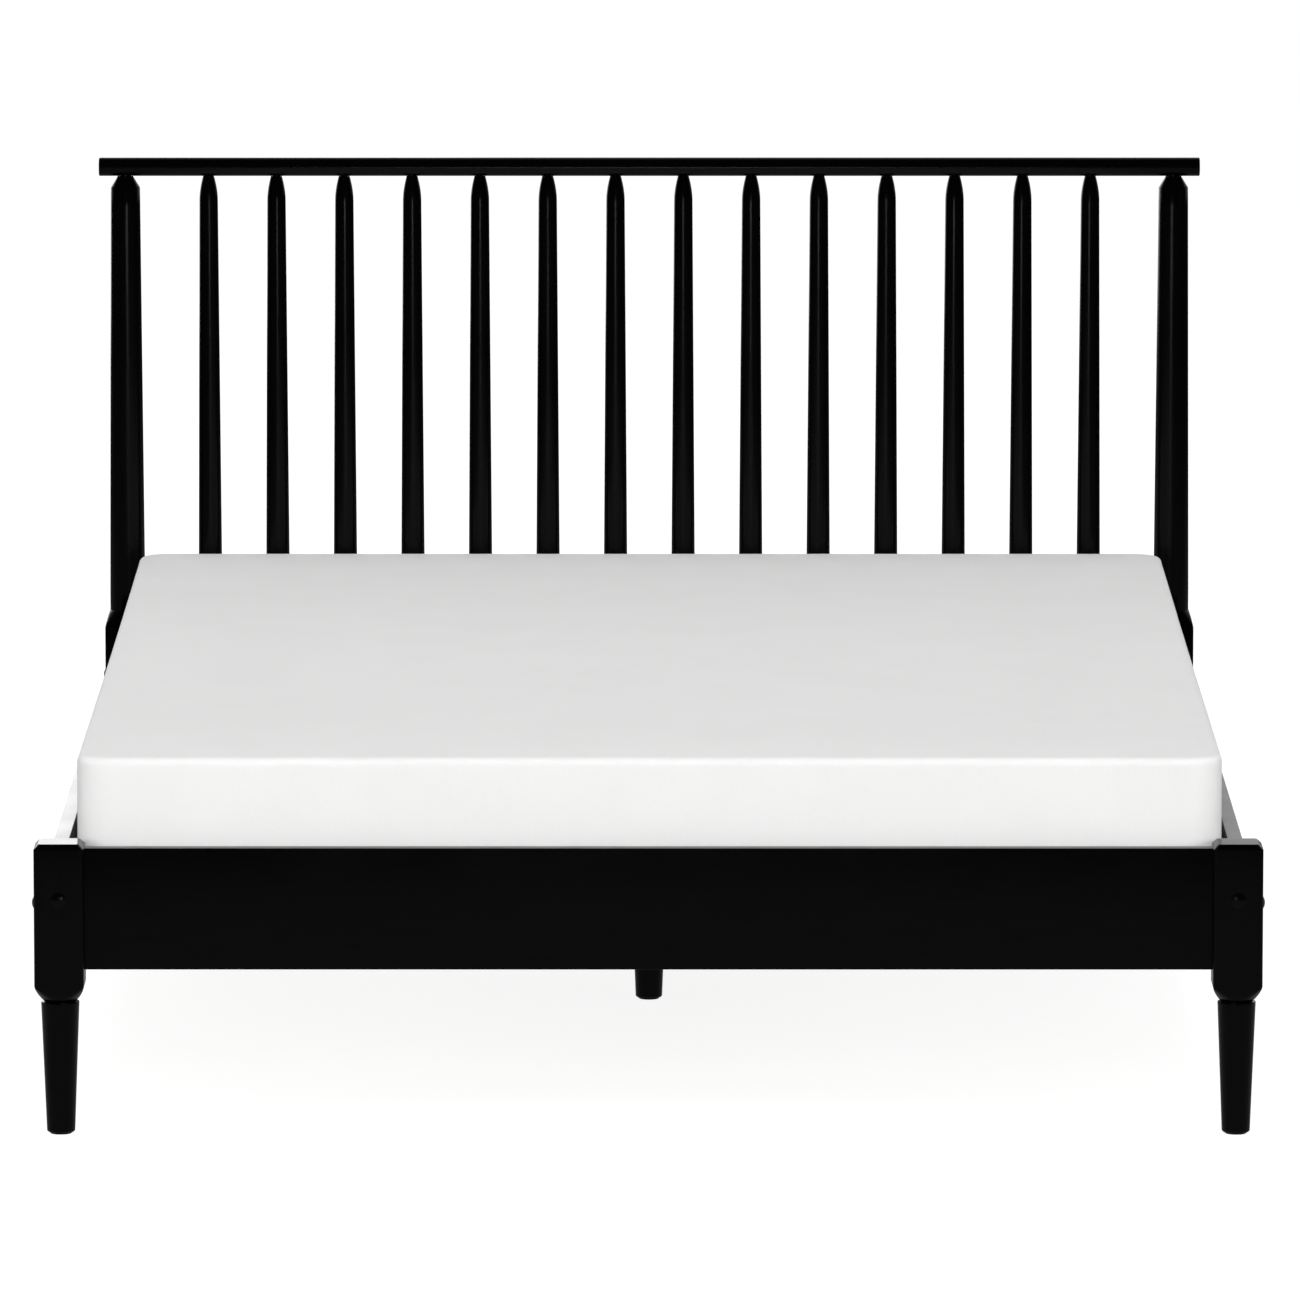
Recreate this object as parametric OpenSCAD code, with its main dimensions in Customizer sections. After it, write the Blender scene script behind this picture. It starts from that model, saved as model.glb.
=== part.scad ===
// Two-person bed in black painted wood: turned legs, plain rails, a spindle headboard and a loose mattress.
// The origin is on the floor under the middle of the bed. X runs across, Y towards the headboard, Z up.

/* [Mattress] */
// Width of the mattress
mattress_w = 1524; // [1300:1:1930]
// Length of the mattress
mattress_l = 2032; // [1850:1:2200]
// Thickness of the mattress at its edge
mattress_h = 203; // [120:1:300]
// Radius of its upright corners
mattress_corner_r = 40; // [38:1:90]
// Radius of its top and bottom edges
mattress_edge_r = 16; // [8:1:36]
// Rise of the top panel from its edge to its middle
mattress_crown = 3; // [1:0.5:20]
// How far each side draws in between its corners
mattress_draw = 2; // [0:0.5:6]
// Thickness of the quilted cover
cover_t = 5; // [3:0.5:12]
// Gap between the cover and the core inside it
core_play = 0.3; // [0.2:0.1:2]
// Gap between the mattress and the slats it rests on
mattress_seat_gap = 0.3; // [0.2:0.1:1]
// Gap between the mattress and each side rail
mattress_side_gap = 10; // [6:1:40]
// Gap between the mattress and the footboard rail
mattress_foot_gap = 14; // [12:1:60]
// Gap between the mattress and the headboard's lower rail
mattress_head_gap = 35; // [26:1:80]

/* [Rails] */
// Thickness of the side rails and end rails
rail_t = 20; // [18:1:28]
// Height of the rails from edge to edge
rail_h = 163; // [150:1:220]
// Height of the rails' top edge above the floor
rail_top = 385; // [340:1:520]
// Radius of the rails' long edges
rail_edge_r = 2; // [1:0.5:5]

/* [Posts] */
// Width of the square post blocks
post_size = 66; // [60:1:80]
// Radius of the blocks' edges
post_edge_r = 4.5; // [2:0.5:8]
// Rise of the foot posts above the rails
foot_post_rise = 8; // [3:1:60]
// How far the square blocks reach below the rails
block_drop = 18; // [4:1:40]
// Height of the shaped shoulder between block and leg
leg_shoulder_h = 20; // [14:1:30]
// Height of the rounded top of the leg under the shoulder
leg_neck_h = 7; // [5:1:12]
// Diameter at the bottom of the shoulder
leg_neck_d = 47; // [44:0.5:49]
// Diameter of the legs at the top
leg_top_d = 51; // [50:0.5:58]
// Diameter of the legs at the floor
leg_foot_d = 37.6; // [34:0.2:46]
// Chamfer around the bottom of the legs
leg_chamfer = 2; // [1:0.5:4]

/* [Headboard] */
// Height of the headboard
headboard_h = 1090; // [850:1:1300]
// Diameter of the round top rail
top_rail_d = 27.6; // [26:0.2:40]
// How far the top rail runs past the posts' outer faces
top_rail_overhang = 6; // [0:1:40]
// Chamfer on the ends of the top rail
top_rail_chamfer = 1; // [0.5:0.5:3]
// Rise of the head posts' square blocks above the rails
head_block_rise = 1; // [1:1:60]
// Height of the shaped shoulder above each head block
head_shoulder_h = 24; // [16:1:36]
// Diameter of the head posts just above the shoulder
shaft_low_d = 53; // [46:0.5:56]
// Diameter of the head posts at the top
shaft_top_d = 43.9; // [38:0.1:50]
// Height of the cone at the top of each head post
post_cone_h = 17; // [10:1:40]
// Diameter of the cone where it meets the top rail
post_cone_d = 23; // [20:0.5:26]
// Diameter of the head posts' tenons
post_tenon_d = 16; // [12:0.5:18]
// Length of the head posts' tenons
post_tenon_l = 16; // [10:0.5:18]
// Distance from the centre of a post to the nearest spindle
spindle_end_gap = 124.2; // [70:0.1:200]
// Diameter of the spindles at their thick lower end
spindle_low_d = 36.2; // [28:0.1:42]
// Diameter of the spindles at their thin upper end
spindle_top_d = 27.2; // [22:0.1:34]
// Height of the rounded neck at each end of a spindle
spindle_neck_h = 37; // [20:1:60]
// Diameter of the necks where they meet the rails
spindle_neck_d = 16.5; // [14:0.5:18]
// Diameter of the spindles' tenons
spindle_tenon_d = 11; // [8:0.5:12]
// Length of the spindles' tenons
spindle_tenon_l = 14; // [8:0.5:18]

/* [Mattress support] */
// Depth of the slats' top below the rails' top
deck_drop = 85; // [60:1:88]
// Width of a slat
slat_w = 70; // [50:1:90]
// Thickness of a slat
slat_t = 18; // [14:1:22]
// Gap between a slat's end and the side rail
slat_end_gap = 2; // [1:0.5:6]
// Gap between the outermost slats and the posts
slat_post_gap = 10; // [4:1:60]
// Radius of the slats' long edges
slat_edge_r = 2; // [1:0.5:4]
// Width of the ledgers along the side rails
ledger_w = 22; // [20:1:23]
// Height of the ledgers
ledger_h = 32; // [28:1:40]
// Gap between a ledger's end and the post
ledger_end_gap = 3; // [1:1:20]
// Width of the centre beam
beam_w = 60; // [50:1:80]
// Height of the centre beam
beam_h = 50; // [44:1:52]
// Thickness of the steel of the beam hangers
hanger_t = 2; // [1.5:0.5:2.5]
// How far the hangers reach under the beam
hanger_depth = 36; // [24:1:40]
// Height of the hangers' cheeks beside the beam
hanger_cheek_h = 36; // [24:1:42]
// Width of the hangers' screw ears
hanger_ear_w = 22; // [18:1:30]
// Play between the beam and its hangers
hanger_play = 0.5; // [0.3:0.1:2]
// Diameter of the centre leg's threaded bolt
leg_bolt_d = 8; // [6:0.5:10]
// How far the bolt goes into the beam and into the leg
leg_bolt_reach = 30; // [20:1:36]
// Wall of the threaded insert in the beam
insert_wall = 2; // [1.5:0.5:3]

/* [Fastenings] */
// Diameter of the rail bolts
bolt_d = 6; // [5:0.5:6.5]
// Play around a bolt in its hole
bolt_play = 0.6; // [0.4:0.1:1]
// Depth of the side rail bolts below the rails' top
side_bolt_drop = 66; // [52:1:68]
// Depth of the end rail bolts below the rails' top
end_bolt_drop = 74; // [73:1:90]
// Diameter of a bolt's head
bolt_head_d = 10; // [9:0.5:12]
// Height of a bolt's head
bolt_head_h = 6; // [4:0.5:7]
// Width across the corners of the hexagon socket
bolt_socket_d = 5.6; // [4:0.1:7]
// Depth of the hexagon socket
bolt_socket_depth = 3; // [2:0.5:3.5]
// Thickness of the washers
washer_t = 1.5; // [1:0.5:2]
// Diameter of the pocket for the bolt's head and the cap
pocket_d = 16; // [15:0.5:18]
// Depth of that pocket
pocket_depth = 14; // [13.5:0.5:16]
// Diameter of the domed caps
cap_d = 20; // [18.5:0.5:26]
// Height of the dome
cap_h = 3.8; // [2:0.1:6]
// Length of the cap's plug
cap_plug_l = 5; // [3:0.5:5.5]
// Distance from a rail's end to its barrel nut
nut_setback = 36; // [30:1:60]
// Diameter of the barrel nuts
nut_d = 10; // [9:0.5:12]
// Wood left behind a barrel nut
nut_wall = 3; // [2:0.5:5]
// Diameter of the dowels
dowel_d = 8; // [6:0.5:10]
// How far a dowel goes into each piece
dowel_reach = 19; // [12:1:20]
// Distance of the dowels from the rails' edges
dowel_edge = 30; // [16:1:40]
// Diameter of the wood screws
screw_d = 4; // [3:0.5:5]
// Diameter of their countersunk heads
screw_head_d = 8; // [7:0.5:9]
// How far a screw goes into the piece behind
screw_bite = 14; // [8:1:15]
// Diameter of the glides under the legs
glide_d = 28; // [20:1:30]
// Thickness of the glides
glide_t = 2; // [1:0.5:4]
// Diameter of the glides' nails
glide_nail_d = 3; // [2:0.5:4]
// Length of the glides' nails
glide_nail_l = 14; // [8:1:20]

/* [Hidden] */
SPINDLES = 14;
SLATS = 14;
WOOD = [0.06, 0.06, 0.06];
PINE = [0.80, 0.66, 0.45];
STEEL = [0.70, 0.70, 0.72];
PLASTIC = [0.03, 0.03, 0.03];
CLOTH = [0.95, 0.95, 0.94];

// Clearances on the radius, of pieces in holes, of threads and of washers in their pockets
fit = 0.1;
thread_fit = 0.05;
washer_play = 0.5;
// Gap between the top rail and what stands under it
slip = 0.1;
// Steps in curved outlines, in the mattress's corners and along its sides
curve_steps = 8;
corner_steps = 6;
side_steps = 5;
// Share of a fillet's radius that a square corner loses inside it
fillet_share = 1 - 1 / sqrt(2);
// How full the shoulders' outlines are: 0 is a straight taper
leg_fullness = 0.35;
head_fullness = 0.3;
// Small overlap of solids that are joined into one piece, and of cuts past a face
join = 1;

post_half = post_size / 2;
// Radius that clears a block's corners
corner_r = post_half * sqrt(2) + join;
inner_w = mattress_w + 2 * mattress_side_gap;
inner_l = mattress_l + mattress_foot_gap + mattress_head_gap;
bed_w = inner_w + rail_t + post_size;
bed_l = inner_l + rail_t + post_size;
post_x = bed_w / 2 - post_half;
post_y = bed_l / 2 - post_half;
end_rail_l = bed_w - 2 * post_size;
side_rail_l = bed_l - 2 * post_size;
mattress_y = -inner_l / 2 + mattress_foot_gap + mattress_l / 2;

rail_z = rail_top - rail_h;
deck_z = rail_top - deck_drop;
ledger_top = deck_z - slat_t;
beam_z = ledger_top - beam_h;
ledger_x = inner_w / 2 - ledger_w / 2;
ledger_z = ledger_top - ledger_h;
ledger_screw_z = ledger_z + ledger_h / 2;
mattress_z = deck_z + mattress_seat_gap;

block_z = rail_z - block_drop;
neck_z = block_z - leg_shoulder_h;
leg_top_z = neck_z - leg_neck_h;
foot_post_top = rail_top + foot_post_rise;
head_block_top = rail_top + head_block_rise;
shaft_z = head_block_top + head_shoulder_h;
top_rail_z = headboard_h - top_rail_d / 2;
top_seat_z = headboard_h - top_rail_d - slip;
shaft_top_z = top_seat_z - post_cone_h;

spindle_pitch = (2 * post_x - 2 * spindle_end_gap) / (SPINDLES - 1);
first_slat_y = -post_y + post_half + slat_post_gap + slat_w / 2;
slat_pitch = -2 * first_slat_y / (SLATS - 1);

side_bolt_z = rail_top - side_bolt_drop;
end_bolt_z = rail_top - end_bolt_drop;
bolt_hole_r = bolt_d / 2 + bolt_play / 2;
// How far a bolt's tip passes its nut
bolt_tip = 6;
bolt_reach = nut_setback + nut_d / 2 + bolt_tip;
bolt_head_depth = pocket_depth - washer_t - bolt_head_h;
nut_l = rail_t - 2 * nut_wall;
washer_d = pocket_d - 2 * washer_play;
screw_head_h = screw_head_d / 2 - screw_d / 2;
screw_hole_r = screw_d / 2 + fit;
// Length and end radius of a wood screw's point
screw_tip = 2;
screw_end_r = 0.5;
beam_l = inner_l - 2 * hanger_t - 2 * hanger_play;
insert_r = leg_bolt_d / 2 + thread_fit + insert_wall;
hanger_cheek_x = beam_w / 2 + hanger_play;
hanger_plate_h = hanger_cheek_h + hanger_t;
hanger_screw_x = hanger_cheek_x + hanger_t + hanger_ear_w / 2;
hanger_screw_z = [for (share = [1 / 4, 3 / 4]) beam_z - hanger_t + share * hanger_plate_h];

function two_digits(i) = i < 9 ? str("0", i + 1) : str(i + 1);
function spindle_name(i) = str("spindle_", two_digits(i));
function slat_name(i) = str("slat_", two_digits(i));
function spindle_x(i) = (i - (SPINDLES - 1) / 2) * spindle_pitch;
function slat_y(i) = first_slat_y + i * slat_pitch;

ledger_screw_y = [for (i = [0:2:SLATS - 2]) (slat_y(i) + slat_y(i + 1)) / 2];

// A square with rounded corners
module rounded_rect(w, h, r) {
    square([w - 2 * r, h], center = true);
    square([w, h - 2 * r], center = true);
    for (x = [-1, 1], y = [-1, 1])
        translate([x * (w / 2 - r), y * (h / 2 - r)])
            circle(r = r, $fn = 48);
}

// A cylinder along X or Y that starts at the origin; a negative length runs the other way
module rod_x(r, length) {
    mirror([length < 0 ? 1 : 0, 0, 0])
        rotate([0, 90, 0])
            cylinder(r = r, h = abs(length), $fn = 48);
}

module rod_y(r, length) {
    mirror([0, length < 0 ? 1 : 0, 0])
        rotate([-90, 0, 0])
            cylinder(r = r, h = abs(length), $fn = 48);
}

// A countersunk wood screw, or the hole for one, with its head's face at the origin and its tip down
module screw(length, play) {
    mirror([0, 0, 1]) {
        cylinder(r = screw_d / 2 + play, h = length - screw_tip + play, $fn = 24);
        cylinder(r1 = screw_head_d / 2 + play, r2 = screw_d / 2 + play, h = screw_head_h, $fn = 24);
        translate([0, 0, length - screw_tip + play])
            cylinder(r1 = screw_d / 2 + play, r2 = screw_end_r, h = screw_tip, $fn = 24);
    }
}

// Half-width of a shoulder: t runs from 0 at its narrow end to 1 at the block
function shoulder_half(t, narrow, fullness) =
    narrow + (post_half - narrow) * t * (1 + fullness * (1 - t));

leg_shoulder = [for (i = [0:curve_steps])
    let (t = i / curve_steps)
    [shoulder_half(t, leg_neck_d / 2, leg_fullness), neck_z + t * leg_shoulder_h]];

head_shoulder = [for (i = [0:curve_steps])
    let (t = 1 - i / curve_steps)
    [shoulder_half(t, shaft_low_d / 2 + fit, head_fullness), shaft_z - t * head_shoulder_h]];

foot_top_round = [for (i = [0:curve_steps])
    let (a = 90 * i / curve_steps)
    [post_half - post_edge_r * (1 - cos(a)), foot_post_top - post_edge_r * (1 - sin(a))]];

// A block's outline from the points of its right half
module both_halves(points) {
    left = [for (i = [len(points) - 1:-1:0]) [-points[i][0], points[i][1]]];
    polygon(concat(points, left));
}

// The square block: the same outline cut from the front and from the side, its corners turned round
module post_block(outline, low, high) {
    intersection() {
        translate([0, 0, low])
            linear_extrude(high - low)
                rounded_rect(post_size, post_size, post_edge_r);
        rotate([90, 0, 0])
            linear_extrude(post_size + 2 * join, center = true)
                both_halves(outline);
        rotate([90, 0, 90])
            linear_extrude(post_size + 2 * join, center = true)
                both_halves(outline);
        children();
    }
}

// A leg from the glide to inside its block, with a rounded top under the shoulder
module turned_leg(top_z) {
    foot_r = leg_foot_d / 2;
    top_r = leg_top_d / 2;
    neck_r = leg_neck_d / 2 - fit;
    rounding = [for (i = [0:curve_steps])
        let (a = 90 * i / curve_steps)
        [neck_r + (top_r - neck_r) * cos(a), leg_top_z + leg_neck_h * sin(a)]];
    rotate_extrude($fn = 96)
        polygon(concat(
            [[0, glide_t], [foot_r - leg_chamfer, glide_t], [foot_r, glide_t + leg_chamfer]],
            rounding,
            [[neck_r, top_z], [0, top_z]]
        ));
}

// Everything that is drilled in a post; sx and sy point to its outer faces
module post_cuts(sx, sy) {
    translate([sx * (post_half + join), 0, end_bolt_z]) {
        rod_x(pocket_d / 2, -sx * (pocket_depth + join));
        rod_x(bolt_hole_r, -sx * (post_size + 2 * join));
    }
    translate([0, sy * (post_half + join), side_bolt_z]) {
        rod_y(pocket_d / 2, -sy * (pocket_depth + join));
        rod_y(bolt_hole_r, -sy * (post_size + 2 * join));
    }
    for (z = [rail_z + dowel_edge, rail_top - dowel_edge]) {
        translate([-sx * (post_half + join), 0, z])
            rod_x(dowel_d / 2 + fit, sx * (dowel_reach + join + fit));
        translate([0, -sy * (post_half + join), z])
            rod_y(dowel_d / 2 + fit, sy * (dowel_reach + join + fit));
    }
    glide_nail_hole();
}

module glide_nail_hole() {
    translate([0, 0, glide_t - join])
        cylinder(r = glide_nail_d / 2 + fit, h = glide_nail_l + join + fit, $fn = 24);
}

module foot_post(sx) {
    color(WOOD) translate([sx * post_x, -post_y, 0])
        difference() {
            union() {
                turned_leg(block_z);
                post_block(concat(leg_shoulder, foot_top_round), neck_z, foot_post_top)
                    rotate_extrude($fn = 96)
                        polygon([
                            [0, neck_z],
                            [leg_neck_d / 2, neck_z],
                            [corner_r, block_z],
                            [corner_r, foot_post_top],
                            [0, foot_post_top]
                        ]);
            }
            post_cuts(sx, -1);
        }
}

module head_post(sx) {
    tenon_z = top_seat_z + post_tenon_l;
    color(WOOD) translate([sx * post_x, post_y, 0])
        difference() {
            union() {
                turned_leg(block_z);
                post_block(concat(leg_shoulder, head_shoulder), neck_z, shaft_z)
                    rotate_extrude($fn = 96)
                        polygon([
                            [0, neck_z],
                            [leg_neck_d / 2, neck_z],
                            [corner_r, block_z],
                            [corner_r, head_block_top],
                            [shaft_low_d / 2 + fit, shaft_z],
                            [0, shaft_z]
                        ]);
                rotate_extrude($fn = 96)
                    polygon([
                        [0, head_block_top],
                        [shaft_low_d / 2, head_block_top],
                        [shaft_low_d / 2, shaft_z],
                        [shaft_top_d / 2, shaft_top_z],
                        [post_cone_d / 2, top_seat_z],
                        [post_tenon_d / 2, top_seat_z],
                        [post_tenon_d / 2, tenon_z],
                        [0, tenon_z]
                    ]);
            }
            post_cuts(sx, 1);
        }
}

module headboard_top_rail() {
    half = bed_w / 2 + top_rail_overhang;
    r = top_rail_d / 2;
    c = top_rail_chamfer;
    color(WOOD) translate([0, post_y, top_rail_z])
        difference() {
            rotate([0, 90, 0])
                rotate_extrude($fn = 96)
                    polygon([
                        [0, -half],
                        [r - c, -half],
                        [r, c - half],
                        [r, half - c],
                        [r - c, half],
                        [0, half]
                    ]);
            for (i = [0:SPINDLES - 1])
                translate([spindle_x(i), 0, -r - join])
                    cylinder(r = spindle_tenon_d / 2 + fit, h = spindle_tenon_l + join + fit, $fn = 48);
            for (sx = [-1, 1])
                translate([sx * post_x, 0, -r - join])
                    cylinder(r = post_tenon_d / 2 + fit, h = post_tenon_l + join + fit, $fn = 48);
        }
}

// A spindle tapers evenly between two necks whose outlines are parabolas
module spindle(i) {
    low_z = rail_top;
    high_z = top_seat_z;
    body_low = low_z + spindle_neck_h;
    body_high = high_z - spindle_neck_h;
    low_neck = [for (k = [0:curve_steps])
        let (t = 1 - k / curve_steps)
        [spindle_low_d / 2 - (spindle_low_d - spindle_neck_d) / 2 * t * t, body_low - t * spindle_neck_h]];
    high_neck = [for (k = [0:curve_steps])
        let (t = k / curve_steps)
        [spindle_top_d / 2 - (spindle_top_d - spindle_neck_d) / 2 * t * t, body_high + t * spindle_neck_h]];
    color(WOOD) translate([spindle_x(i), post_y, 0])
        rotate_extrude($fn = 72)
            polygon(concat(
                [[0, low_z - spindle_tenon_l], [spindle_tenon_d / 2, low_z - spindle_tenon_l]],
                [[spindle_tenon_d / 2, low_z]],
                low_neck,
                high_neck,
                [[spindle_tenon_d / 2, high_z], [spindle_tenon_d / 2, high_z + spindle_tenon_l]],
                [[0, high_z + spindle_tenon_l]]
            ));
}

// Holes in both ends of a rail that runs along X: bolts, barrel nuts and dowels. The nuts go in from
// the side that inward points to.
module rail_cuts(length, bolt_z, inward) {
    for (s = [-1, 1])
        translate([s * length / 2, 0, 0]) {
            translate([s * join, 0, bolt_z])
                rod_x(bolt_hole_r, -s * (bolt_reach + join + bolt_play));
            translate([-s * nut_setback, inward * (rail_t / 2 + join), bolt_z])
                rod_y(nut_d / 2 + fit, -inward * (rail_t - nut_wall + join));
            for (z = [rail_z + dowel_edge, rail_top - dowel_edge])
                translate([s * join, 0, z])
                    rod_x(dowel_d / 2 + fit, -s * (dowel_reach + join + fit));
        }
}

// A rail along X with rounded long edges
module rail_board(length) {
    translate([0, 0, rail_z + rail_h / 2])
        rotate([90, 0, 90])
            linear_extrude(length, center = true)
                rounded_rect(rail_t, rail_h, rail_edge_r);
}

module hanger_screw_holes(sy) {
    for (sx = [-1, 1], z = hanger_screw_z)
        translate([sx * hanger_screw_x, sy * (rail_t / 2 + join), z])
            rod_y(screw_hole_r, -sy * (screw_bite + join + fit));
}

module footboard_rail() {
    color(WOOD) translate([0, -post_y, 0])
        difference() {
            rail_board(end_rail_l);
            rail_cuts(end_rail_l, end_bolt_z, 1);
            hanger_screw_holes(1);
        }
}

module headboard_lower_rail() {
    color(WOOD) translate([0, post_y, 0])
        difference() {
            rail_board(end_rail_l);
            rail_cuts(end_rail_l, end_bolt_z, -1);
            hanger_screw_holes(-1);
            for (i = [0:SPINDLES - 1])
                translate([spindle_x(i), 0, rail_top - spindle_tenon_l - fit])
                    cylinder(r = spindle_tenon_d / 2 + fit, h = spindle_tenon_l + join, $fn = 48);
        }
}

module side_rail(sx) {
    color(WOOD) translate([sx * post_x, 0, 0])
        difference() {
            rotate([0, 0, 90])
                difference() {
                    rail_board(side_rail_l);
                    rail_cuts(side_rail_l, side_bolt_z, sx);
                }
            for (y = ledger_screw_y)
                translate([-sx * (rail_t / 2 + join), y, ledger_screw_z])
                    rod_x(screw_hole_r, sx * (screw_bite + join + fit));
        }
}

// A ledger lies against the inside of a side rail and carries the slats' ends
module ledger(sx) {
    length = side_rail_l - 2 * ledger_end_gap;
    color(PINE) difference() {
        translate([sx * ledger_x, 0, ledger_z + ledger_h / 2])
            cube([ledger_w, length, ledger_h], center = true);
        for (i = [0:SLATS - 1])
            translate([sx * ledger_x, slat_y(i), ledger_top - screw_bite - fit])
                cylinder(r = screw_hole_r, h = screw_bite + join, $fn = 24);
        for (y = ledger_screw_y)
            translate([sx * (ledger_x - ledger_w / 2), y, ledger_screw_z])
                rotate([0, -sx * 90, 0])
                    screw(ledger_w + 2 * join + screw_tip, fit);
    }
}

// A slat lies on the ledgers and the centre beam and has a screw at each of the three
module slat(i) {
    color(PINE) translate([0, slat_y(i), deck_z - slat_t / 2])
        difference() {
            rotate([90, 0, 90])
                linear_extrude(inner_w - 2 * slat_end_gap, center = true)
                    rounded_rect(slat_w, slat_t, slat_edge_r);
            for (x = [-ledger_x, 0, ledger_x])
                translate([x, 0, slat_t / 2])
                    screw(slat_t + 2 * join + screw_tip, fit);
        }
}

module centre_beam() {
    color(PINE) difference() {
        translate([0, 0, beam_z + beam_h / 2])
            cube([beam_w, beam_l, beam_h], center = true);
        for (i = [0:SLATS - 1])
            translate([0, slat_y(i), ledger_top - screw_bite - fit])
                cylinder(r = screw_hole_r, h = screw_bite + join, $fn = 24);
        translate([0, 0, beam_z - join])
            cylinder(r = insert_r + fit, h = leg_bolt_reach + join + fit, $fn = 48);
    }
}

// A folded steel hanger that is screwed to an end rail and holds one end of the beam
module beam_hanger(sy) {
    plate_w = 2 * (hanger_cheek_x + hanger_t + hanger_ear_w);
    seat_w = 2 * (hanger_cheek_x + hanger_t);
    seat_z = beam_z - hanger_t;
    color(STEEL) translate([0, sy * inner_l / 2, 0])
        mirror([0, sy > 0 ? 1 : 0, 0])
            difference() {
                union() {
                    translate([-plate_w / 2, 0, seat_z])
                        cube([plate_w, hanger_t, hanger_plate_h]);
                    translate([-seat_w / 2, 0, seat_z])
                        cube([seat_w, hanger_depth, hanger_t]);
                    for (sx = [-1, 1])
                        translate([sx * (hanger_cheek_x + hanger_t / 2) - hanger_t / 2, 0, seat_z])
                            cube([hanger_t, hanger_depth, hanger_plate_h]);
                }
                for (sx = [-1, 1], z = hanger_screw_z)
                    translate([sx * hanger_screw_x, -join, z])
                        rod_y(screw_hole_r, hanger_t + 2 * join);
            }
}

// The centre leg is turned like the others and ends flat under the beam
module centre_leg() {
    foot_r = leg_foot_d / 2;
    slope = (leg_top_d - leg_foot_d) / 2 / leg_top_z;
    top_r = foot_r + slope * beam_z;
    color(WOOD) difference() {
        rotate_extrude($fn = 96)
            polygon([
                [0, glide_t],
                [foot_r - leg_chamfer, glide_t],
                [foot_r, glide_t + leg_chamfer],
                [top_r, beam_z - leg_chamfer],
                [top_r - leg_chamfer, beam_z],
                [0, beam_z]
            ]);
        translate([0, 0, beam_z - leg_bolt_reach - fit])
            cylinder(r = leg_bolt_d / 2 + thread_fit, h = leg_bolt_reach + join, $fn = 48);
        glide_nail_hole();
    }
}

module centre_leg_bolt() {
    color(STEEL) translate([0, 0, beam_z - leg_bolt_reach])
        cylinder(r = leg_bolt_d / 2, h = 2 * leg_bolt_reach, $fn = 48);
}

module centre_leg_insert() {
    color(STEEL) translate([0, 0, beam_z])
        difference() {
            cylinder(r = insert_r, h = leg_bolt_reach, $fn = 48);
            translate([0, 0, -join])
                cylinder(r = leg_bolt_d / 2 + thread_fit, h = leg_bolt_reach + 2 * join, $fn = 48);
        }
}

// A bolt lies along X with its head's face at the origin and its tip towards +X
module rail_bolt() {
    difference() {
        union() {
            rod_x(bolt_head_d / 2, bolt_head_h);
            rod_x(bolt_d / 2, post_size - bolt_head_depth + bolt_reach);
        }
        translate([-join, 0, 0])
            rotate([0, 90, 0])
                cylinder(r = bolt_socket_d / 2, h = bolt_socket_depth + join, $fn = 6);
    }
}

// Puts a piece that points inwards along X at each end bolt, or along Y at each side bolt
module at_end_bolts(depth) {
    for (sx = [-1, 1], sy = [-1, 1])
        translate([sx * (bed_w / 2 - depth), sy * post_y, end_bolt_z])
            mirror([sx > 0 ? 1 : 0, 0, 0])
                children();
}

module at_side_bolts(depth) {
    for (sx = [-1, 1], sy = [-1, 1])
        translate([sx * post_x, sy * (bed_l / 2 - depth), side_bolt_z])
            rotate([0, 0, sy > 0 ? -90 : 90])
                children();
}

module end_rail_bolts() {
    color(STEEL) at_end_bolts(bolt_head_depth)
        rail_bolt();
}

module side_rail_bolts() {
    color(STEEL) at_side_bolts(bolt_head_depth)
        rail_bolt();
}

// A barrel nut lies across the bolt, in the middle of the rail
module barrel_nut() {
    translate([0, -nut_l / 2, 0])
        difference() {
            rod_y(nut_d / 2, nut_l);
            translate([-nut_d, nut_l / 2, 0])
                rod_x(bolt_d / 2 + thread_fit, 2 * nut_d);
        }
}

module end_rail_nuts() {
    color(STEEL) for (sx = [-1, 1], sy = [-1, 1])
        translate([sx * (end_rail_l / 2 - nut_setback), sy * post_y, end_bolt_z])
            barrel_nut();
}

module side_rail_nuts() {
    color(STEEL) for (sx = [-1, 1], sy = [-1, 1])
        translate([sx * post_x, sy * (side_rail_l / 2 - nut_setback), side_bolt_z])
            rotate([0, 0, 90])
                barrel_nut();
}

module washer() {
    difference() {
        rod_x(washer_d / 2, washer_t);
        translate([-join, 0, 0])
            rod_x(bolt_hole_r, washer_t + 2 * join);
    }
}

module bolt_washers() {
    color(STEEL) {
        at_end_bolts(pocket_depth)
            mirror([1, 0, 0])
                washer();
        at_side_bolts(pocket_depth)
            mirror([1, 0, 0])
                washer();
    }
}

// A domed cap whose plug fills the mouth of the pocket
module cap() {
    dome_r = (cap_d * cap_d / 4 + cap_h * cap_h) / (2 * cap_h);
    intersection() {
        translate([dome_r - cap_h, 0, 0])
            sphere(r = dome_r, $fn = 96);
        rod_x(cap_d / 2, -cap_h);
    }
    rod_x(pocket_d / 2 - fit, cap_plug_l);
}

module bolt_caps() {
    color(PLASTIC) {
        at_end_bolts(0)
            cap();
        at_side_bolts(0)
            cap();
    }
}

module rail_dowels() {
    color(PINE) for (sx = [-1, 1], sy = [-1, 1], z = [rail_z + dowel_edge, rail_top - dowel_edge]) {
        translate([sx * (end_rail_l / 2 - dowel_reach), sy * post_y, z])
            rod_x(dowel_d / 2, sx * 2 * dowel_reach);
        translate([sx * post_x, sy * (side_rail_l / 2 - dowel_reach), z])
            rod_y(dowel_d / 2, sy * 2 * dowel_reach);
    }
}

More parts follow.
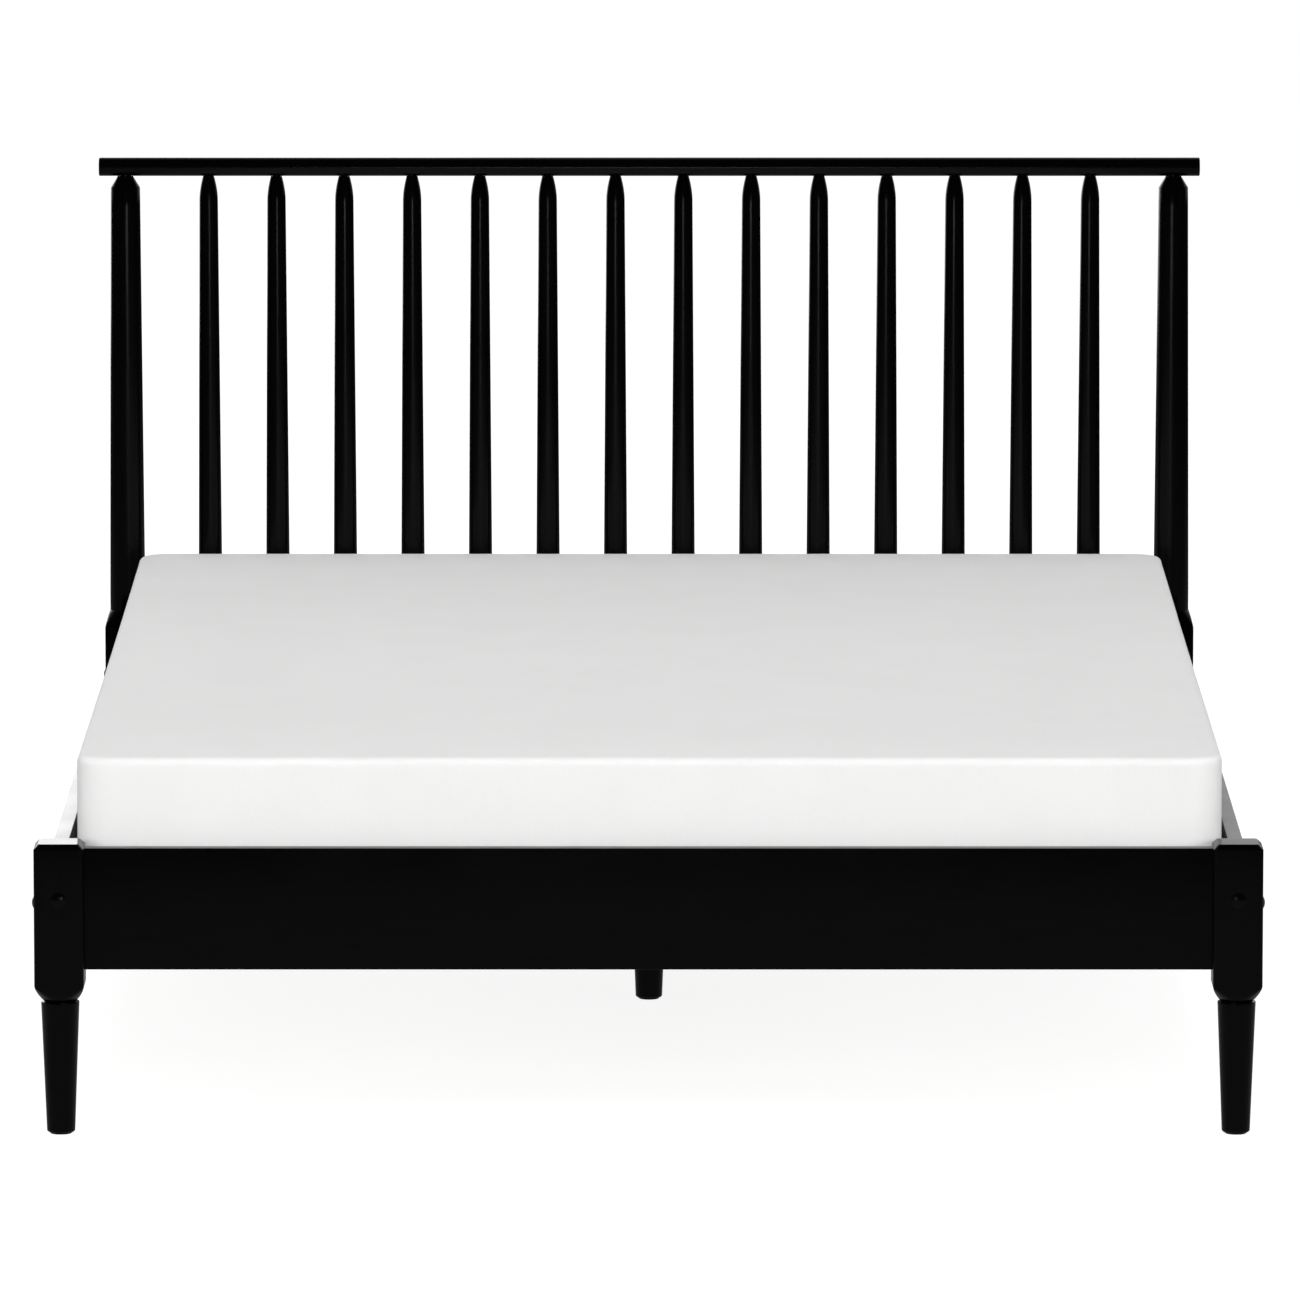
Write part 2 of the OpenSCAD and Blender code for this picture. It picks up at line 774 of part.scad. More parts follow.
module ledger_screws() {
    color(STEEL) for (sx = [-1, 1], y = ledger_screw_y)
        translate([sx * (ledger_x - ledger_w / 2), y, ledger_screw_z])
            rotate([0, -sx * 90, 0])
                screw(ledger_w + screw_bite, 0);
}

module slat_screws() {
    color(STEEL) for (i = [0:SLATS - 1], x = [-ledger_x, 0, ledger_x])
        translate([x, slat_y(i), deck_z])
            screw(slat_t + screw_bite, 0);
}

// Pan-head screws through the hangers' ears into the end rails
module hanger_screws() {
    color(STEEL) for (sx = [-1, 1], sy = [-1, 1], z = hanger_screw_z)
        translate([sx * hanger_screw_x, sy * (inner_l / 2 - hanger_t), z]) {
            rod_y(screw_d / 2, sy * (hanger_t + screw_bite));
            rod_y(screw_head_d / 2, -sy * screw_head_h);
        }
}

module floor_glides() {
    color(PLASTIC) for (p = [[-1, -1], [1, -1], [-1, 1], [1, 1], [0, 0]])
        translate([p[0] * post_x, p[1] * post_y, 0]) {
            cylinder(r = glide_d / 2, h = glide_t, $fn = 48);
            cylinder(r = glide_nail_d / 2, h = glide_t + glide_nail_l, $fn = 24);
        }
}

// One ring of the mattress: an oblong with round corners whose sides draw in between them
function ring(inset, z) =
    let (
        a = mattress_w / 2 - inset,
        b = mattress_l / 2 - inset,
        r = mattress_corner_r * (1 - inset / mattress_w),
        corners = [[1, 1, 0], [-1, 1, 90], [-1, -1, 180], [1, -1, 270]],
        arcs = [for (c = corners) [for (k = [0:corner_steps])
            let (t = c[2] + 90 * k / corner_steps)
            [c[0] * (a - r) + r * cos(t), c[1] * (b - r) + r * sin(t), z]]]
    )
    [for (c = [0:3]) each concat(arcs[c], drawn_side(arcs[c][corner_steps], arcs[(c + 1) % 4][0], c))];

// The points between two corners; each side draws in by a parabola that is deepest midway
function drawn_side(from, to, side) =
    let (inward = [[0, -1, 0], [1, 0, 0], [0, 1, 0], [-1, 0, 0]][side])
    [for (k = [1:side_steps - 1])
        let (t = k / side_steps)
        from + (to - from) * t + inward * mattress_draw * 4 * t * (1 - t)];

// Rings from the bottom panel's edge, up the side and over the top edge, then across the crown.
// The crown's rings are given as shares of the way to the middle.
edge_angles = [0, 25, 45, 65, 90];
crown_shares = [0.09, 0.24, 0.48, 0.75];
mattress_rings = concat(
    [for (a = edge_angles) ring(mattress_edge_r * (1 - sin(a)), mattress_edge_r * (1 - cos(a)))],
    [for (a = edge_angles) ring(mattress_edge_r * (1 - cos(a)), mattress_h - mattress_edge_r * (1 - sin(a)))],
    [for (s = crown_shares)
        ring(
            mattress_edge_r + s * (mattress_w / 2 - mattress_edge_r),
            mattress_h + mattress_crown * (1 - (1 - s) * (1 - s))
        )]
);

module mattress_form() {
    rings = len(mattress_rings);
    count = len(mattress_rings[0]);
    points = concat(
        [for (r = mattress_rings) each r],
        [[0, 0, 0], [0, 0, mattress_h + mattress_crown]]
    );
    bottom = rings * count;
    sides = [for (r = [0:rings - 2], k = [0:count - 1])
        let (n = (k + 1) % count, low = r * count, high = low + count)
        each [[low + k, high + k, high + n], [low + k, high + n, low + n]]];
    caps = [for (k = [0:count - 1])
        let (n = (k + 1) % count, high = (rings - 1) * count)
        each [[bottom, k, n], [bottom + 1, high + n, high + k]]];
    polyhedron(points = points, faces = concat(sides, caps), convexity = 4);
}

// The space inside the cover, which the core fills less its play
module mattress_inside(play) {
    inset = cover_t + mattress_draw + mattress_edge_r * fillet_share + play;
    low = cover_t + mattress_edge_r * fillet_share + play;
    translate([0, 0, low])
        linear_extrude(mattress_h - 2 * low)
            rounded_rect(mattress_w - 2 * inset, mattress_l - 2 * inset, mattress_corner_r - play);
}

module mattress_cover() {
    color(CLOTH) translate([0, mattress_y, mattress_z])
        difference() {
            mattress_form();
            mattress_inside(0);
        }
}

module mattress_core() {
    color(CLOTH) translate([0, mattress_y, mattress_z])
        mattress_inside(core_play);
}

headboard_top_rail();
head_post(-1);  // head_post_left
head_post(1);  // head_post_right
headboard_lower_rail();
for (i = [0:SPINDLES - 1])
    spindle(i);
foot_post(-1);  // foot_post_left
foot_post(1);  // foot_post_right
footboard_rail();
side_rail(-1);  // side_rail_left
side_rail(1);  // side_rail_right
ledger(-1);  // ledger_left
ledger(1);  // ledger_right
centre_beam();
beam_hanger(-1);  // beam_hanger_foot
beam_hanger(1);  // beam_hanger_head
centre_leg();
centre_leg_bolt();
centre_leg_insert();
for (i = [0:SLATS - 1])
    slat(i);
side_rail_bolts();
side_rail_nuts();
end_rail_bolts();
end_rail_nuts();
bolt_washers();
bolt_caps();
rail_dowels();
ledger_screws();
slat_screws();
hanger_screws();
floor_glides();
mattress_cover();
mattress_core();
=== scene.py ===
import math

import bmesh
import bpy
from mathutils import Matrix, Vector


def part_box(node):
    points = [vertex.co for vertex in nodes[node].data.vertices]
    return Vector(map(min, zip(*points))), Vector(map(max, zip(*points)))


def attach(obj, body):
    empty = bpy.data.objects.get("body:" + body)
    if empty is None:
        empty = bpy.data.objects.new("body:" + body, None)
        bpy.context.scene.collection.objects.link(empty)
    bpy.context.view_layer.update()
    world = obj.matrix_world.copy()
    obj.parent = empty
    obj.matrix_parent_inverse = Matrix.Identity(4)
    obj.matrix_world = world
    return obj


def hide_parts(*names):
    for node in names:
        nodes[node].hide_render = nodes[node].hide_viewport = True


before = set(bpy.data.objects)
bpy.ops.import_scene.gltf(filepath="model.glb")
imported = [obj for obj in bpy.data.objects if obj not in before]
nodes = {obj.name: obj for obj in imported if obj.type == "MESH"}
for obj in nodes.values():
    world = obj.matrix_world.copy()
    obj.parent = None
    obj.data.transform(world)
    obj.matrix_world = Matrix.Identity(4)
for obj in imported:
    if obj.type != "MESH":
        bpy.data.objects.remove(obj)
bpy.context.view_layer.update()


# Foot posts
# Each is one turned piece of hardwood under smooth satin black paint: a square block that takes the rails, a
# shoulder whose four flats run out into the round, and a tapered leg. Its flat top has a soft chamfer.
PAINT_BLACK = (0.0004, 0.0004, 0.0004, 1)
PAINT_THIN = (0.0010, 0.0010, 0.0010, 1)
PAINT_IOR = 1.45
PAINT_SPECULAR = 0.13
PAINT_ROUGHNESS = (0.17, 0.23)
PEEL_WIDTH = 0.004
PEEL_DEPTH = 0.000005
GRAIN_WIDTH = 0.0016
GRAIN_LENGTH = 0.09
GRAIN_DEPTH = 0.000004
GLOSS_PATCH = 0.12
NOISE_SPAN = (0.3, 0.7)


def put(tree, kind, inputs=None, **settings):
    """A new node. Its inputs go by name or number, and one that is given a socket is linked to it."""
    node = tree.nodes.new(kind)
    for key, value in settings.items():
        setattr(node, key, value)
    for key, value in (inputs or {}).items():
        if isinstance(value, bpy.types.NodeSocket):
            tree.links.new(value, node.inputs[key])
        else:
            node.inputs[key].default_value = value
    return node


def new_material(name, constants):
    """A material, its tree, its shader and the place on the object that its patterns read."""
    material = bpy.data.materials.new(name)
    material.use_nodes = True
    tree = material.node_tree
    shader = tree.nodes["Principled BSDF"]
    for key, value in constants.items():
        shader.inputs[key].default_value = value
    place = put(tree, "ShaderNodeTexCoord").outputs["Object"]
    return material, tree, shader, place


def drawn_out(tree, place, axis, along, across):
    """The place, scaled so that a pattern of unit size is drawn out along one axis."""
    scale = [1 / along if letter == axis else 1 / across for letter in "XYZ"]
    return put(tree, "ShaderNodeMapping", {"Vector": place, "Scale": scale}).outputs["Vector"]


def ranged(tree, value, from_low, from_high, to_low, to_high):
    """A value carried from one range to another, kept within it."""
    return put(tree, "ShaderNodeMapRange", {
        "Value": value,
        "From Min": from_low,
        "From Max": from_high,
        "To Min": to_low,
        "To Max": to_high,
    }).outputs["Result"]


def noise(tree, place, scale, detail):
    """Soft noise, most of it between the ends of the noise span."""
    return put(tree, "ShaderNodeTexNoise", {"Vector": place, "Scale": scale, "Detail": detail}).outputs["Fac"]


def tint(tree, shader, share, low, high):
    """Colours a surface from one colour to another by a share from 0 to 1."""
    colour = put(tree, "ShaderNodeValToRGB", {"Fac": share})
    colour.color_ramp.elements[0].color = low
    colour.color_ramp.elements[1].color = high
    tree.links.new(colour.outputs["Color"], shader.inputs["Base Color"])


def relief(tree, shader, *layers):
    """Fine relief on a surface from layers of (height, depth, whether it goes inwards)."""
    normal = None
    for height, depth, inwards in layers:
        bump = put(tree, "ShaderNodeBump", {"Height": height, "Distance": depth}, invert=inwards)
        if normal:
            tree.links.new(normal, bump.inputs["Normal"])
        normal = bump.outputs["Normal"]
    tree.links.new(normal, shader.inputs["Normal"])


def black_paint(axis):
    """Paint on a piece whose grain runs along one axis and shows as faint lines through the coat."""
    material, tree, shader, place = new_material("black_paint_" + axis.lower(), {
        "IOR": PAINT_IOR,
        "Specular IOR Level": PAINT_SPECULAR,
    })
    patches = noise(tree, place, 1 / GLOSS_PATCH, 4.0)
    gloss = ranged(tree, patches, *NOISE_SPAN, *PAINT_ROUGHNESS)
    tree.links.new(gloss, shader.inputs["Roughness"])
    peel = noise(tree, place, 1 / PEEL_WIDTH, 1.0)
    stretched = drawn_out(tree, place, axis, GRAIN_LENGTH, GRAIN_WIDTH)
    grain = noise(tree, stretched, 1.0, 3.0)
    tone = ranged(tree, grain, *NOISE_SPAN, 0.0, 1.0)
    tint(tree, shader, tone, PAINT_BLACK, PAINT_THIN)
    relief(tree, shader, (peel, PEEL_DEPTH, False), (grain, GRAIN_DEPTH, False))
    return material


paint_upright = black_paint("Z")

POST_EDGE = 0.0045
TOP_CHAMFER = 0.0064
TOP_SOFTNESS = 0.0022
CREASE = 0.0014
CONE_CLEAR = 0.001
BLOCK_LOW = 0.2025
SHOULDER_LOW = 0.1788
LEG_HIGH = 0.1782
LEG_ROUND = 0.0008
NECK_RADIUS = 0.0215
LEG_HIGH_RADIUS = 0.0255
LEG_LOW_RADIUS = 0.0188
LEG_CHAMFER = 0.002
SHOULDER_FULLNESS = 0.65
FACE_STEPS = 12
EDGE_STEPS = 6
ROUND_STEPS = 8
LEG_STEPS = 14
END_INSET = 0.9
SHARP_ANGLE = math.radians(35)
FREE = 1.0

foot_low, foot_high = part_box("foot_post_left")
post_half = (foot_high.x - foot_low.x) / 2
post_reach = post_half * math.sqrt(2) + CONE_CLEAR
leg_slope = (LEG_HIGH_RADIUS - LEG_LOW_RADIUS) / (LEG_HIGH - LEG_ROUND - foot_low.z - LEG_CHAMFER)


def soft_min(a, b, softness):
    """The smaller of two distances, with the crease between them rounded."""
    share = max(softness - abs(a - b), 0) / softness
    return min(a, b) - share * share * softness / 4


def block_radius(angle, half):
    """Distance from the axis to the side of a square block with round edges."""
    across, along = sorted((abs(math.cos(angle)), abs(math.sin(angle))))
    centre = half - POST_EDGE
    if half * across / along <= centre:
        return half / along
    reach = centre * (along + across)
    return reach + math.sqrt(reach ** 2 - 2 * centre ** 2 + POST_EDGE ** 2)


def post_angles():
    """Angles around a post, closer together where the block has its edges."""
    edge = math.atan2(post_half - POST_EDGE, post_half)
    angles = []
    for quarter in range(4):
        middle = quarter * math.pi / 2
        angles += [middle - edge + 2 * edge * k / FACE_STEPS for k in range(FACE_STEPS)]
        angles += [middle + edge + (math.pi / 2 - 2 * edge) * k / EDGE_STEPS for k in range(EDGE_STEPS)]
    return angles


def placed(name, data):
    """A new object in the scene."""
    item = bpy.data.objects.new(name, data)
    bpy.context.scene.collection.objects.link(item)
    return item


def modified(piece):
    """A new mesh of a piece as its modifiers leave it."""
    evaluated = piece.evaluated_get(bpy.context.evaluated_depsgraph_get())
    return bpy.data.meshes.new_from_object(evaluated)


def mesh_piece(name, vertices, faces, material):
    """A closed mesh object, smooth but for its sharp edges, with its faces pointing outwards."""
    mesh = bpy.data.meshes.new(name)
    mesh.from_pydata(vertices, [], faces)
    shape = bmesh.new()
    shape.from_mesh(mesh)
    bmesh.ops.recalc_face_normals(shape, faces=shape.faces)
    shape.to_mesh(mesh)
    shape.free()
    mesh.shade_smooth()
    mesh.set_sharp_from_angle(angle=SHARP_ANGLE)
    mesh.materials.append(material)
    return placed(name, mesh)


def stacked(name, rings, material):
    """A piece from rings of points, closed by a flat face at each end."""
    def shrunk(ring):
        middle = sum((Vector(p) for p in ring), Vector()) / len(ring)
        return [middle + (Vector(p) - middle) * END_INSET for p in ring]

    rings = [shrunk(rings[0])] + rings + [shrunk(rings[-1])]
    count = len(rings[0])
    vertices = [p for ring in rings for p in ring]
    faces = [list(range(count))[::-1], list(range(len(vertices) - count, len(vertices)))]
    for low in range(0, len(vertices) - count, count):
        for k in range(count):
            n = (k + 1) % count
            faces.append([low + k, low + n, low + count + n, low + count + k])
    return mesh_piece(name, vertices, faces, material)


def post_rings(levels, x, y):
    """Rings around a post's axis from (height, half-width of the flats, radius of the round)."""
    rings = []
    for z, half, turned in levels:
        ring = []
        for angle in post_angles():
            flat = block_radius(angle, half) if half < FREE else FREE
            r = soft_min(flat, turned, CREASE)
            ring.append((x + r * math.cos(angle), y + r * math.sin(angle), z))
        rings.append(ring)
    return rings


def leg_levels(high):
    """A tapered leg from its chamfered foot, which stands on the glide."""
    low = foot_low.z + LEG_CHAMFER
    heights = [low + (high - low) * k / LEG_STEPS for k in range(LEG_STEPS + 1)]
    taper = [(z, FREE, LEG_LOW_RADIUS + leg_slope * (z - low)) for z in heights]
    return [(foot_low.z, FREE, LEG_LOW_RADIUS - LEG_CHAMFER)] + taper


def neck_levels():
    """The leg's flat top with its sanded edge, and the groove that parts it from the shoulder."""
    levels = []
    for k in range(1, ROUND_STEPS + 1):
        a = math.pi / 2 * k / ROUND_STEPS
        drop, inset = LEG_ROUND * (1 - math.sin(a)), LEG_ROUND * (1 - math.cos(a))
        levels.append((LEG_HIGH - drop, FREE, LEG_HIGH_RADIUS - inset))
    return levels + [(LEG_HIGH, FREE, NECK_RADIUS)]


def shoulder_levels(narrow_z, wide_z, narrow, fullness):
    """The flats swell from the narrow end to the block while the round opens out as a cone."""
    levels = []
    for k in range(2 * ROUND_STEPS + 1):
        t = k / (2 * ROUND_STEPS)
        half = narrow + (post_half - narrow) * t * (1 + fullness * (1 - t))
        levels.append((narrow_z + (wide_z - narrow_z) * t, half, narrow + (post_reach - narrow) * t))
    return levels


def top_chamfer_levels(high):
    """The chamfer around a foot post's flat top, whose own edges are sanded soft."""
    levels = []
    reach = TOP_CHAMFER + TOP_SOFTNESS * math.tan(math.pi / 8)
    for centre_inset, centre_drop, start in ((TOP_SOFTNESS, reach, 0), (reach, TOP_SOFTNESS, math.pi / 4)):
        for k in range(ROUND_STEPS + 1):
            a = start + math.pi / 4 * k / ROUND_STEPS
            inset = centre_inset - TOP_SOFTNESS * math.cos(a)
            levels.append((high - centre_drop + TOP_SOFTNESS * math.sin(a), post_half - inset, FREE))
    return levels


lower_levels = leg_levels(LEG_HIGH - LEG_ROUND) + neck_levels()
lower_levels += shoulder_levels(SHOULDER_LOW, BLOCK_LOW, NECK_RADIUS, SHOULDER_FULLNESS)

for side in ("left", "right"):
    node = "foot_post_" + side
    low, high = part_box(node)
    rings = post_rings(lower_levels + top_chamfer_levels(high.z), (low.x + high.x) / 2, (low.y + high.y) / 2)
    post = stacked("painted_" + node, rings, paint_upright)
    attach(post, "bed_frame")
    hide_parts(node)


# Head posts
# The same block and leg carry on upwards as a long tapered shaft. A short cone at its top brings it down to
# the width of the top rail, and a tenon goes up into the rail, where it is glued.
HEAD_BLOCK_HIGH = 0.386
SHAFT_LOW = 0.410
SHAFT_LOW_RADIUS = 0.0265
SHAFT_HIGH = 1.0453
SHAFT_HIGH_RADIUS = 0.02195
TENON_SEAT = 1.0623
CONE_HIGH_RADIUS = 0.0115
POST_TENON_RADIUS = 0.008
HEAD_SHOULDER_FULLNESS = 0.3
SHAFT_STEPS = 24
CONE_STEPS = 4


def straight_levels(low, low_radius, high, high_radius, steps):
    """Evenly spaced levels of a cone or shaft."""
    return [(low + (high - low) * k / steps, FREE, low_radius + (high_radius - low_radius) * k / steps)
            for k in range(steps + 1)]


upper_levels = shoulder_levels(SHAFT_LOW, HEAD_BLOCK_HIGH, SHAFT_LOW_RADIUS, HEAD_SHOULDER_FULLNESS)[::-1]
upper_levels += straight_levels(SHAFT_LOW, SHAFT_LOW_RADIUS, SHAFT_HIGH, SHAFT_HIGH_RADIUS, SHAFT_STEPS)[1:]
upper_levels += straight_levels(SHAFT_HIGH, SHAFT_HIGH_RADIUS, TENON_SEAT, CONE_HIGH_RADIUS, CONE_STEPS)[1:]

for side in ("left", "right"):
    node = "head_post_" + side
    low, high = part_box(node)
    tenon = straight_levels(TENON_SEAT, POST_TENON_RADIUS, high.z, POST_TENON_RADIUS, 1)
    rings = post_rings(lower_levels + upper_levels + tenon, (low.x + high.x) / 2, (low.y + high.y) / 2)
    post = stacked("painted_" + node, rings, paint_upright)
    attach(post, "bed_frame")
    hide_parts(node)


# Rails
# Four plain painted boards join the posts. Their long edges are just eased, their ends are square, and
# each end has a hole on the inner face where the barrel nut goes in.
RAIL_EDGE = 0.0008
RAIL_STEPS = 24
NUT_SETBACK = 0.036
NUT_HOLE_RADIUS = 0.0051
NUT_HOLE_DEPTH = 0.017
HOLE_SIDES = 32

paint_across = black_paint("X")
paint_along = black_paint("Y")


def board(name, low, high, axis, edge, material):
    """A board with rounded long edges that fills the box from low to high and runs along one axis."""
    length = "XYZ".index(axis)
    u, v = [i for i in range(3) if i != length]
    outline = []
    for cu, cv, start in ((1, 1, 0), (-1, 1, 90), (-1, -1, 180), (1, -1, 270)):
        for k in range(ROUND_STEPS + 1):
            a = math.radians(start + 90 * k / ROUND_STEPS)
            centre_u = (low[u] + high[u]) / 2 + cu * ((high[u] - low[u]) / 2 - edge)
            centre_v = (low[v] + high[v]) / 2 + cv * ((high[v] - low[v]) / 2 - edge)
            outline.append((centre_u + edge * math.cos(a), centre_v + edge * math.sin(a)))
    rings = []
    for k in range(RAIL_STEPS + 1):
        ring = []
        for pu, pv in outline:
            point = [0, 0, 0]
            point[u], point[v] = pu, pv
            point[length] = low[length] + (high[length] - low[length]) * k / RAIL_STEPS
            ring.append(tuple(point))
        rings.append(ring)
    return stacked(name, rings, material)


def bore(piece, starts, direction, radius, depth):
    """Cuts round holes from each start along a direction."""
    cutter = bmesh.new()
    turn = Vector(direction).to_track_quat("Z", "Y").to_matrix().to_4x4()
    for start in starts:
        made = bmesh.ops.create_cone(cutter, cap_ends=True, segments=HOLE_SIDES, radius1=radius,
                                     radius2=radius, depth=2 * depth)
        bmesh.ops.transform(cutter, matrix=turn, verts=made["verts"])
        bmesh.ops.translate(cutter, vec=Vector(start), verts=made["verts"])
    mesh = bpy.data.meshes.new("cutter")
    cutter.to_mesh(mesh)
    cutter.free()
    tool = placed("cutter", mesh)
    cut = piece.modifiers.new("bore", "BOOLEAN")
    cut.object = tool
    cut.solver = "EXACT"
    bored = modified(piece)
    piece.modifiers.clear()
    piece.data = bored
    piece.data.set_sharp_from_angle(angle=SHARP_ANGLE)
    bpy.data.objects.remove(tool)


end_nut_z = sum(v.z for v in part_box("end_rail_nuts")) / 2
side_nut_z = sum(v.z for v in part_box("side_rail_nuts")) / 2

for node, inward in (("footboard_rail", 1), ("headboard_lower_rail", -1)):
    low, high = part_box(node)
    rail = board("painted_" + node, low, high, "X", RAIL_EDGE, paint_across)
    face = high.y if inward > 0 else low.y
    starts = [(x, face, end_nut_z) for x in (low.x + NUT_SETBACK, high.x - NUT_SETBACK)]
    bore(rail, starts, (0, -inward, 0), NUT_HOLE_RADIUS, NUT_HOLE_DEPTH)
    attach(rail, "bed_frame")
    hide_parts(node)

for side, inward in (("left", 1), ("right", -1)):
    node = "side_rail_" + side
    low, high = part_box(node)
    rail = board("painted_" + node, low, high, "Y", RAIL_EDGE, paint_along)
    face = high.x if inward > 0 else low.x
    starts = [(face, y, side_nut_z) for y in (low.y + NUT_SETBACK, high.y - NUT_SETBACK)]
    bore(rail, starts, (-inward, 0, 0), NUT_HOLE_RADIUS, NUT_HOLE_DEPTH)
    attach(rail, "bed_frame")
    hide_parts(node)


# Dowels, bolts, washers and barrel nuts
# Two pine dowels and one zinc-plated bolt hold each end of a rail to its post. They are out of sight but for
# the barrel nuts' faces inside the rails, so they keep their plain turned shapes.
PINE_PALE = (0.72, 0.53, 0.30, 1)
PINE_DARK = (0.52, 0.33, 0.15, 1)
RING_WIDTH = 0.009
RING_LENGTH = 0.9
FIBRE_WIDTH = 0.0007
FIBRE_LENGTH = 0.035
FIBRE_DEPTH = 0.00004
PINE_ROUGHNESS = (0.5, 0.68)
RING_SPAN = (0.34, 0.66)
FIBRE_SHADE = 0.14
PATCH_SHADE = 0.12
PATCH_SCALE = 3.1
ZINC_PALE = (0.66, 0.67, 0.70, 1)
ZINC_DARK = (0.50, 0.51, 0.53, 1)
SPANGLE_WIDTH = 0.006
ZINC_SCRATCH = 0.0006
ZINC_DEPTH = 0.00001
ZINC_CLOUD_SCALE = 90.0
ZINC_ROUGHNESS = (0.28, 0.44)


def sum_of(tree, operation, a, b=0.0, clamp=False):
    """The result of one sum."""
    return put(tree, "ShaderNodeMath", {0: a, 1: b}, operation=operation, use_clamp=clamp).outputs[0]


def pine(axis):
    """Planed pine whose grain runs along one axis: growth rings, fine fibres and a few darker streaks."""
    material, tree, shader, place = new_material("pine_" + axis.lower(), {
        "IOR": 1.5,
        "Specular IOR Level": 0.3,
    })
    rings_place = drawn_out(tree, place, axis, RING_LENGTH, RING_WIDTH)
    rings = put(tree, "ShaderNodeTexNoise", {
        "Vector": rings_place,
        "Scale": 0.7,
        "Detail": 5.0,
        "Distortion": 0.6,
    })
    fibres_place = drawn_out(tree, place, axis, FIBRE_LENGTH, FIBRE_WIDTH)
    fibres = noise(tree, fibres_place, 1.0, 4.0)
    broad = noise(tree, place, PATCH_SCALE, 2.0)
    shade = ranged(tree, rings.outputs["Fac"], *RING_SPAN, 0.0, 1.0)
    fine = ranged(tree, fibres, *NOISE_SPAN, -FIBRE_SHADE, FIBRE_SHADE)
    patch = ranged(tree, broad, *NOISE_SPAN, -PATCH_SHADE, PATCH_SHADE)
    shade = sum_of(tree, "ADD", sum_of(tree, "ADD", shade, fine), patch, clamp=True)
    tint(tree, shader, shade, PINE_PALE, PINE_DARK)
    dullness = ranged(tree, fibres, *NOISE_SPAN, *PINE_ROUGHNESS)
    tree.links.new(dullness, shader.inputs["Roughness"])
    relief(tree, shader, (fibres, FIBRE_DEPTH, False))
    return material


def zinc():
    """Zinc-plated steel: faint spangles in the plating, and fine scratches under it."""
    material, tree, shader, place = new_material("zinc_plated_steel", {"Metallic": 1.0})
    spangles = put(tree, "ShaderNodeTexVoronoi", {"Vector": place, "Scale": 1 / SPANGLE_WIDTH})
    cells = put(tree, "ShaderNodeSeparateColor", {"Color": spangles.outputs["Color"]})
    cloud = noise(tree, place, ZINC_CLOUD_SCALE, 5.0)
    mixed = sum_of(tree, "MULTIPLY", cells.outputs["Red"], cloud)
    tint(tree, shader, mixed, ZINC_DARK, ZINC_PALE)
    dullness = ranged(tree, cells.outputs["Green"], 0.0, 1.0, *ZINC_ROUGHNESS)
    tree.links.new(dullness, shader.inputs["Roughness"])
    scratches = noise(tree, place, 1 / ZINC_SCRATCH, 2.0)
    relief(tree, shader, (scratches, ZINC_DEPTH, False))
    return material


def finish_nodes(material, *names):
    """Gives CAD nodes whose shape is right their finish."""
    for name in names:
        nodes[name].data.materials.clear()
        nodes[name].data.materials.append(material)


pine_across = pine("X")
pine_along = pine("Y")
zinc_steel = zinc()
finish_nodes(pine_across, "rail_dowels")
finish_nodes(zinc_steel, "side_rail_bolts", "side_rail_nuts", "end_rail_bolts", "end_rail_nuts")
finish_nodes(zinc_steel, "bolt_washers")


# Bolt caps
# A domed cap of black moulded plastic plugs the pocket over each bolt's head, on both outer faces of every
# post. Eight of them are pressed in by hand.
CAP_SIZES = {"Cap radius": 0.010, "Cap height": 0.0038, "Plug radius": 0.0079, "Plug length": 0.005}
CAP_RINGS = 14
CAP_SIDES = 40
POLE_GAP = 0.02
PLASTIC_BLACK = (0.0005, 0.0005, 0.0005, 1)
PLASTIC_GREY = (0.0012, 0.0012, 0.0012, 1)
PLASTIC_TEXTURE = 0.0006
PLASTIC_DEPTH = 0.00001
PLASTIC_CLOUD_SCALE = 60.0
PLASTIC_ROUGHNESS = (0.24, 0.34)


def moulded_plastic():
    """Black moulded plastic with the fine even texture of its mould."""
    material, tree, shader, place = new_material("black_moulded_plastic", {
        "IOR": 1.5,
        "Specular IOR Level": 0.13,
    })
    texture = put(tree, "ShaderNodeTexVoronoi", {"Vector": place, "Scale": 1 / PLASTIC_TEXTURE})
    cloud = noise(tree, place, PLASTIC_CLOUD_SCALE, 3.0)
    tint(tree, shader, cloud, PLASTIC_BLACK, PLASTIC_GREY)
    dullness = ranged(tree, cloud, *NOISE_SPAN, *PLASTIC_ROUGHNESS)
    tree.links.new(dullness, shader.inputs["Roughness"])
    relief(tree, shader, (texture.outputs["Distance"], PLASTIC_DEPTH, False))
    return material


def new_tree(name, inputs):
    """A geometry tree with named inputs, and its group input and output nodes."""
    tree = bpy.data.node_groups.new(name, "GeometryNodeTree")
    tree.interface.new_socket("Geometry", in_out="OUTPUT", socket_type="NodeSocketGeometry")
    for key, kind in inputs.items():
        tree.interface.new_socket(key, in_out="INPUT", socket_type="NodeSocket" + kind)
    return tree, put(tree, "NodeGroupInput").outputs, put(tree, "NodeGroupOutput")


def vector(tree, **parts):
    """A vector from those of its parts that aren't zero."""
    return put(tree, "ShaderNodeCombineXYZ", parts).outputs["Vector"]


def row_of(tree, count, first, step):
    """Points in a row."""
    line = put(tree, "GeometryNodeMeshLine", {"Count": count, "Start Location": first, "Offset": step})
    return line.outputs["Mesh"]


def pin(tree, sides, radius, length, middle):
    """A round pin about Z whose middle is at a height."""
    bar = put(tree, "GeometryNodeMeshCylinder", {"Vertices": sides, "Radius": radius, "Depth": length})
    return put(tree, "GeometryNodeTransform", {
        "Geometry": bar.outputs["Mesh"],
        "Translation": vector(tree, Z=middle),
    }).outputs["Geometry"]


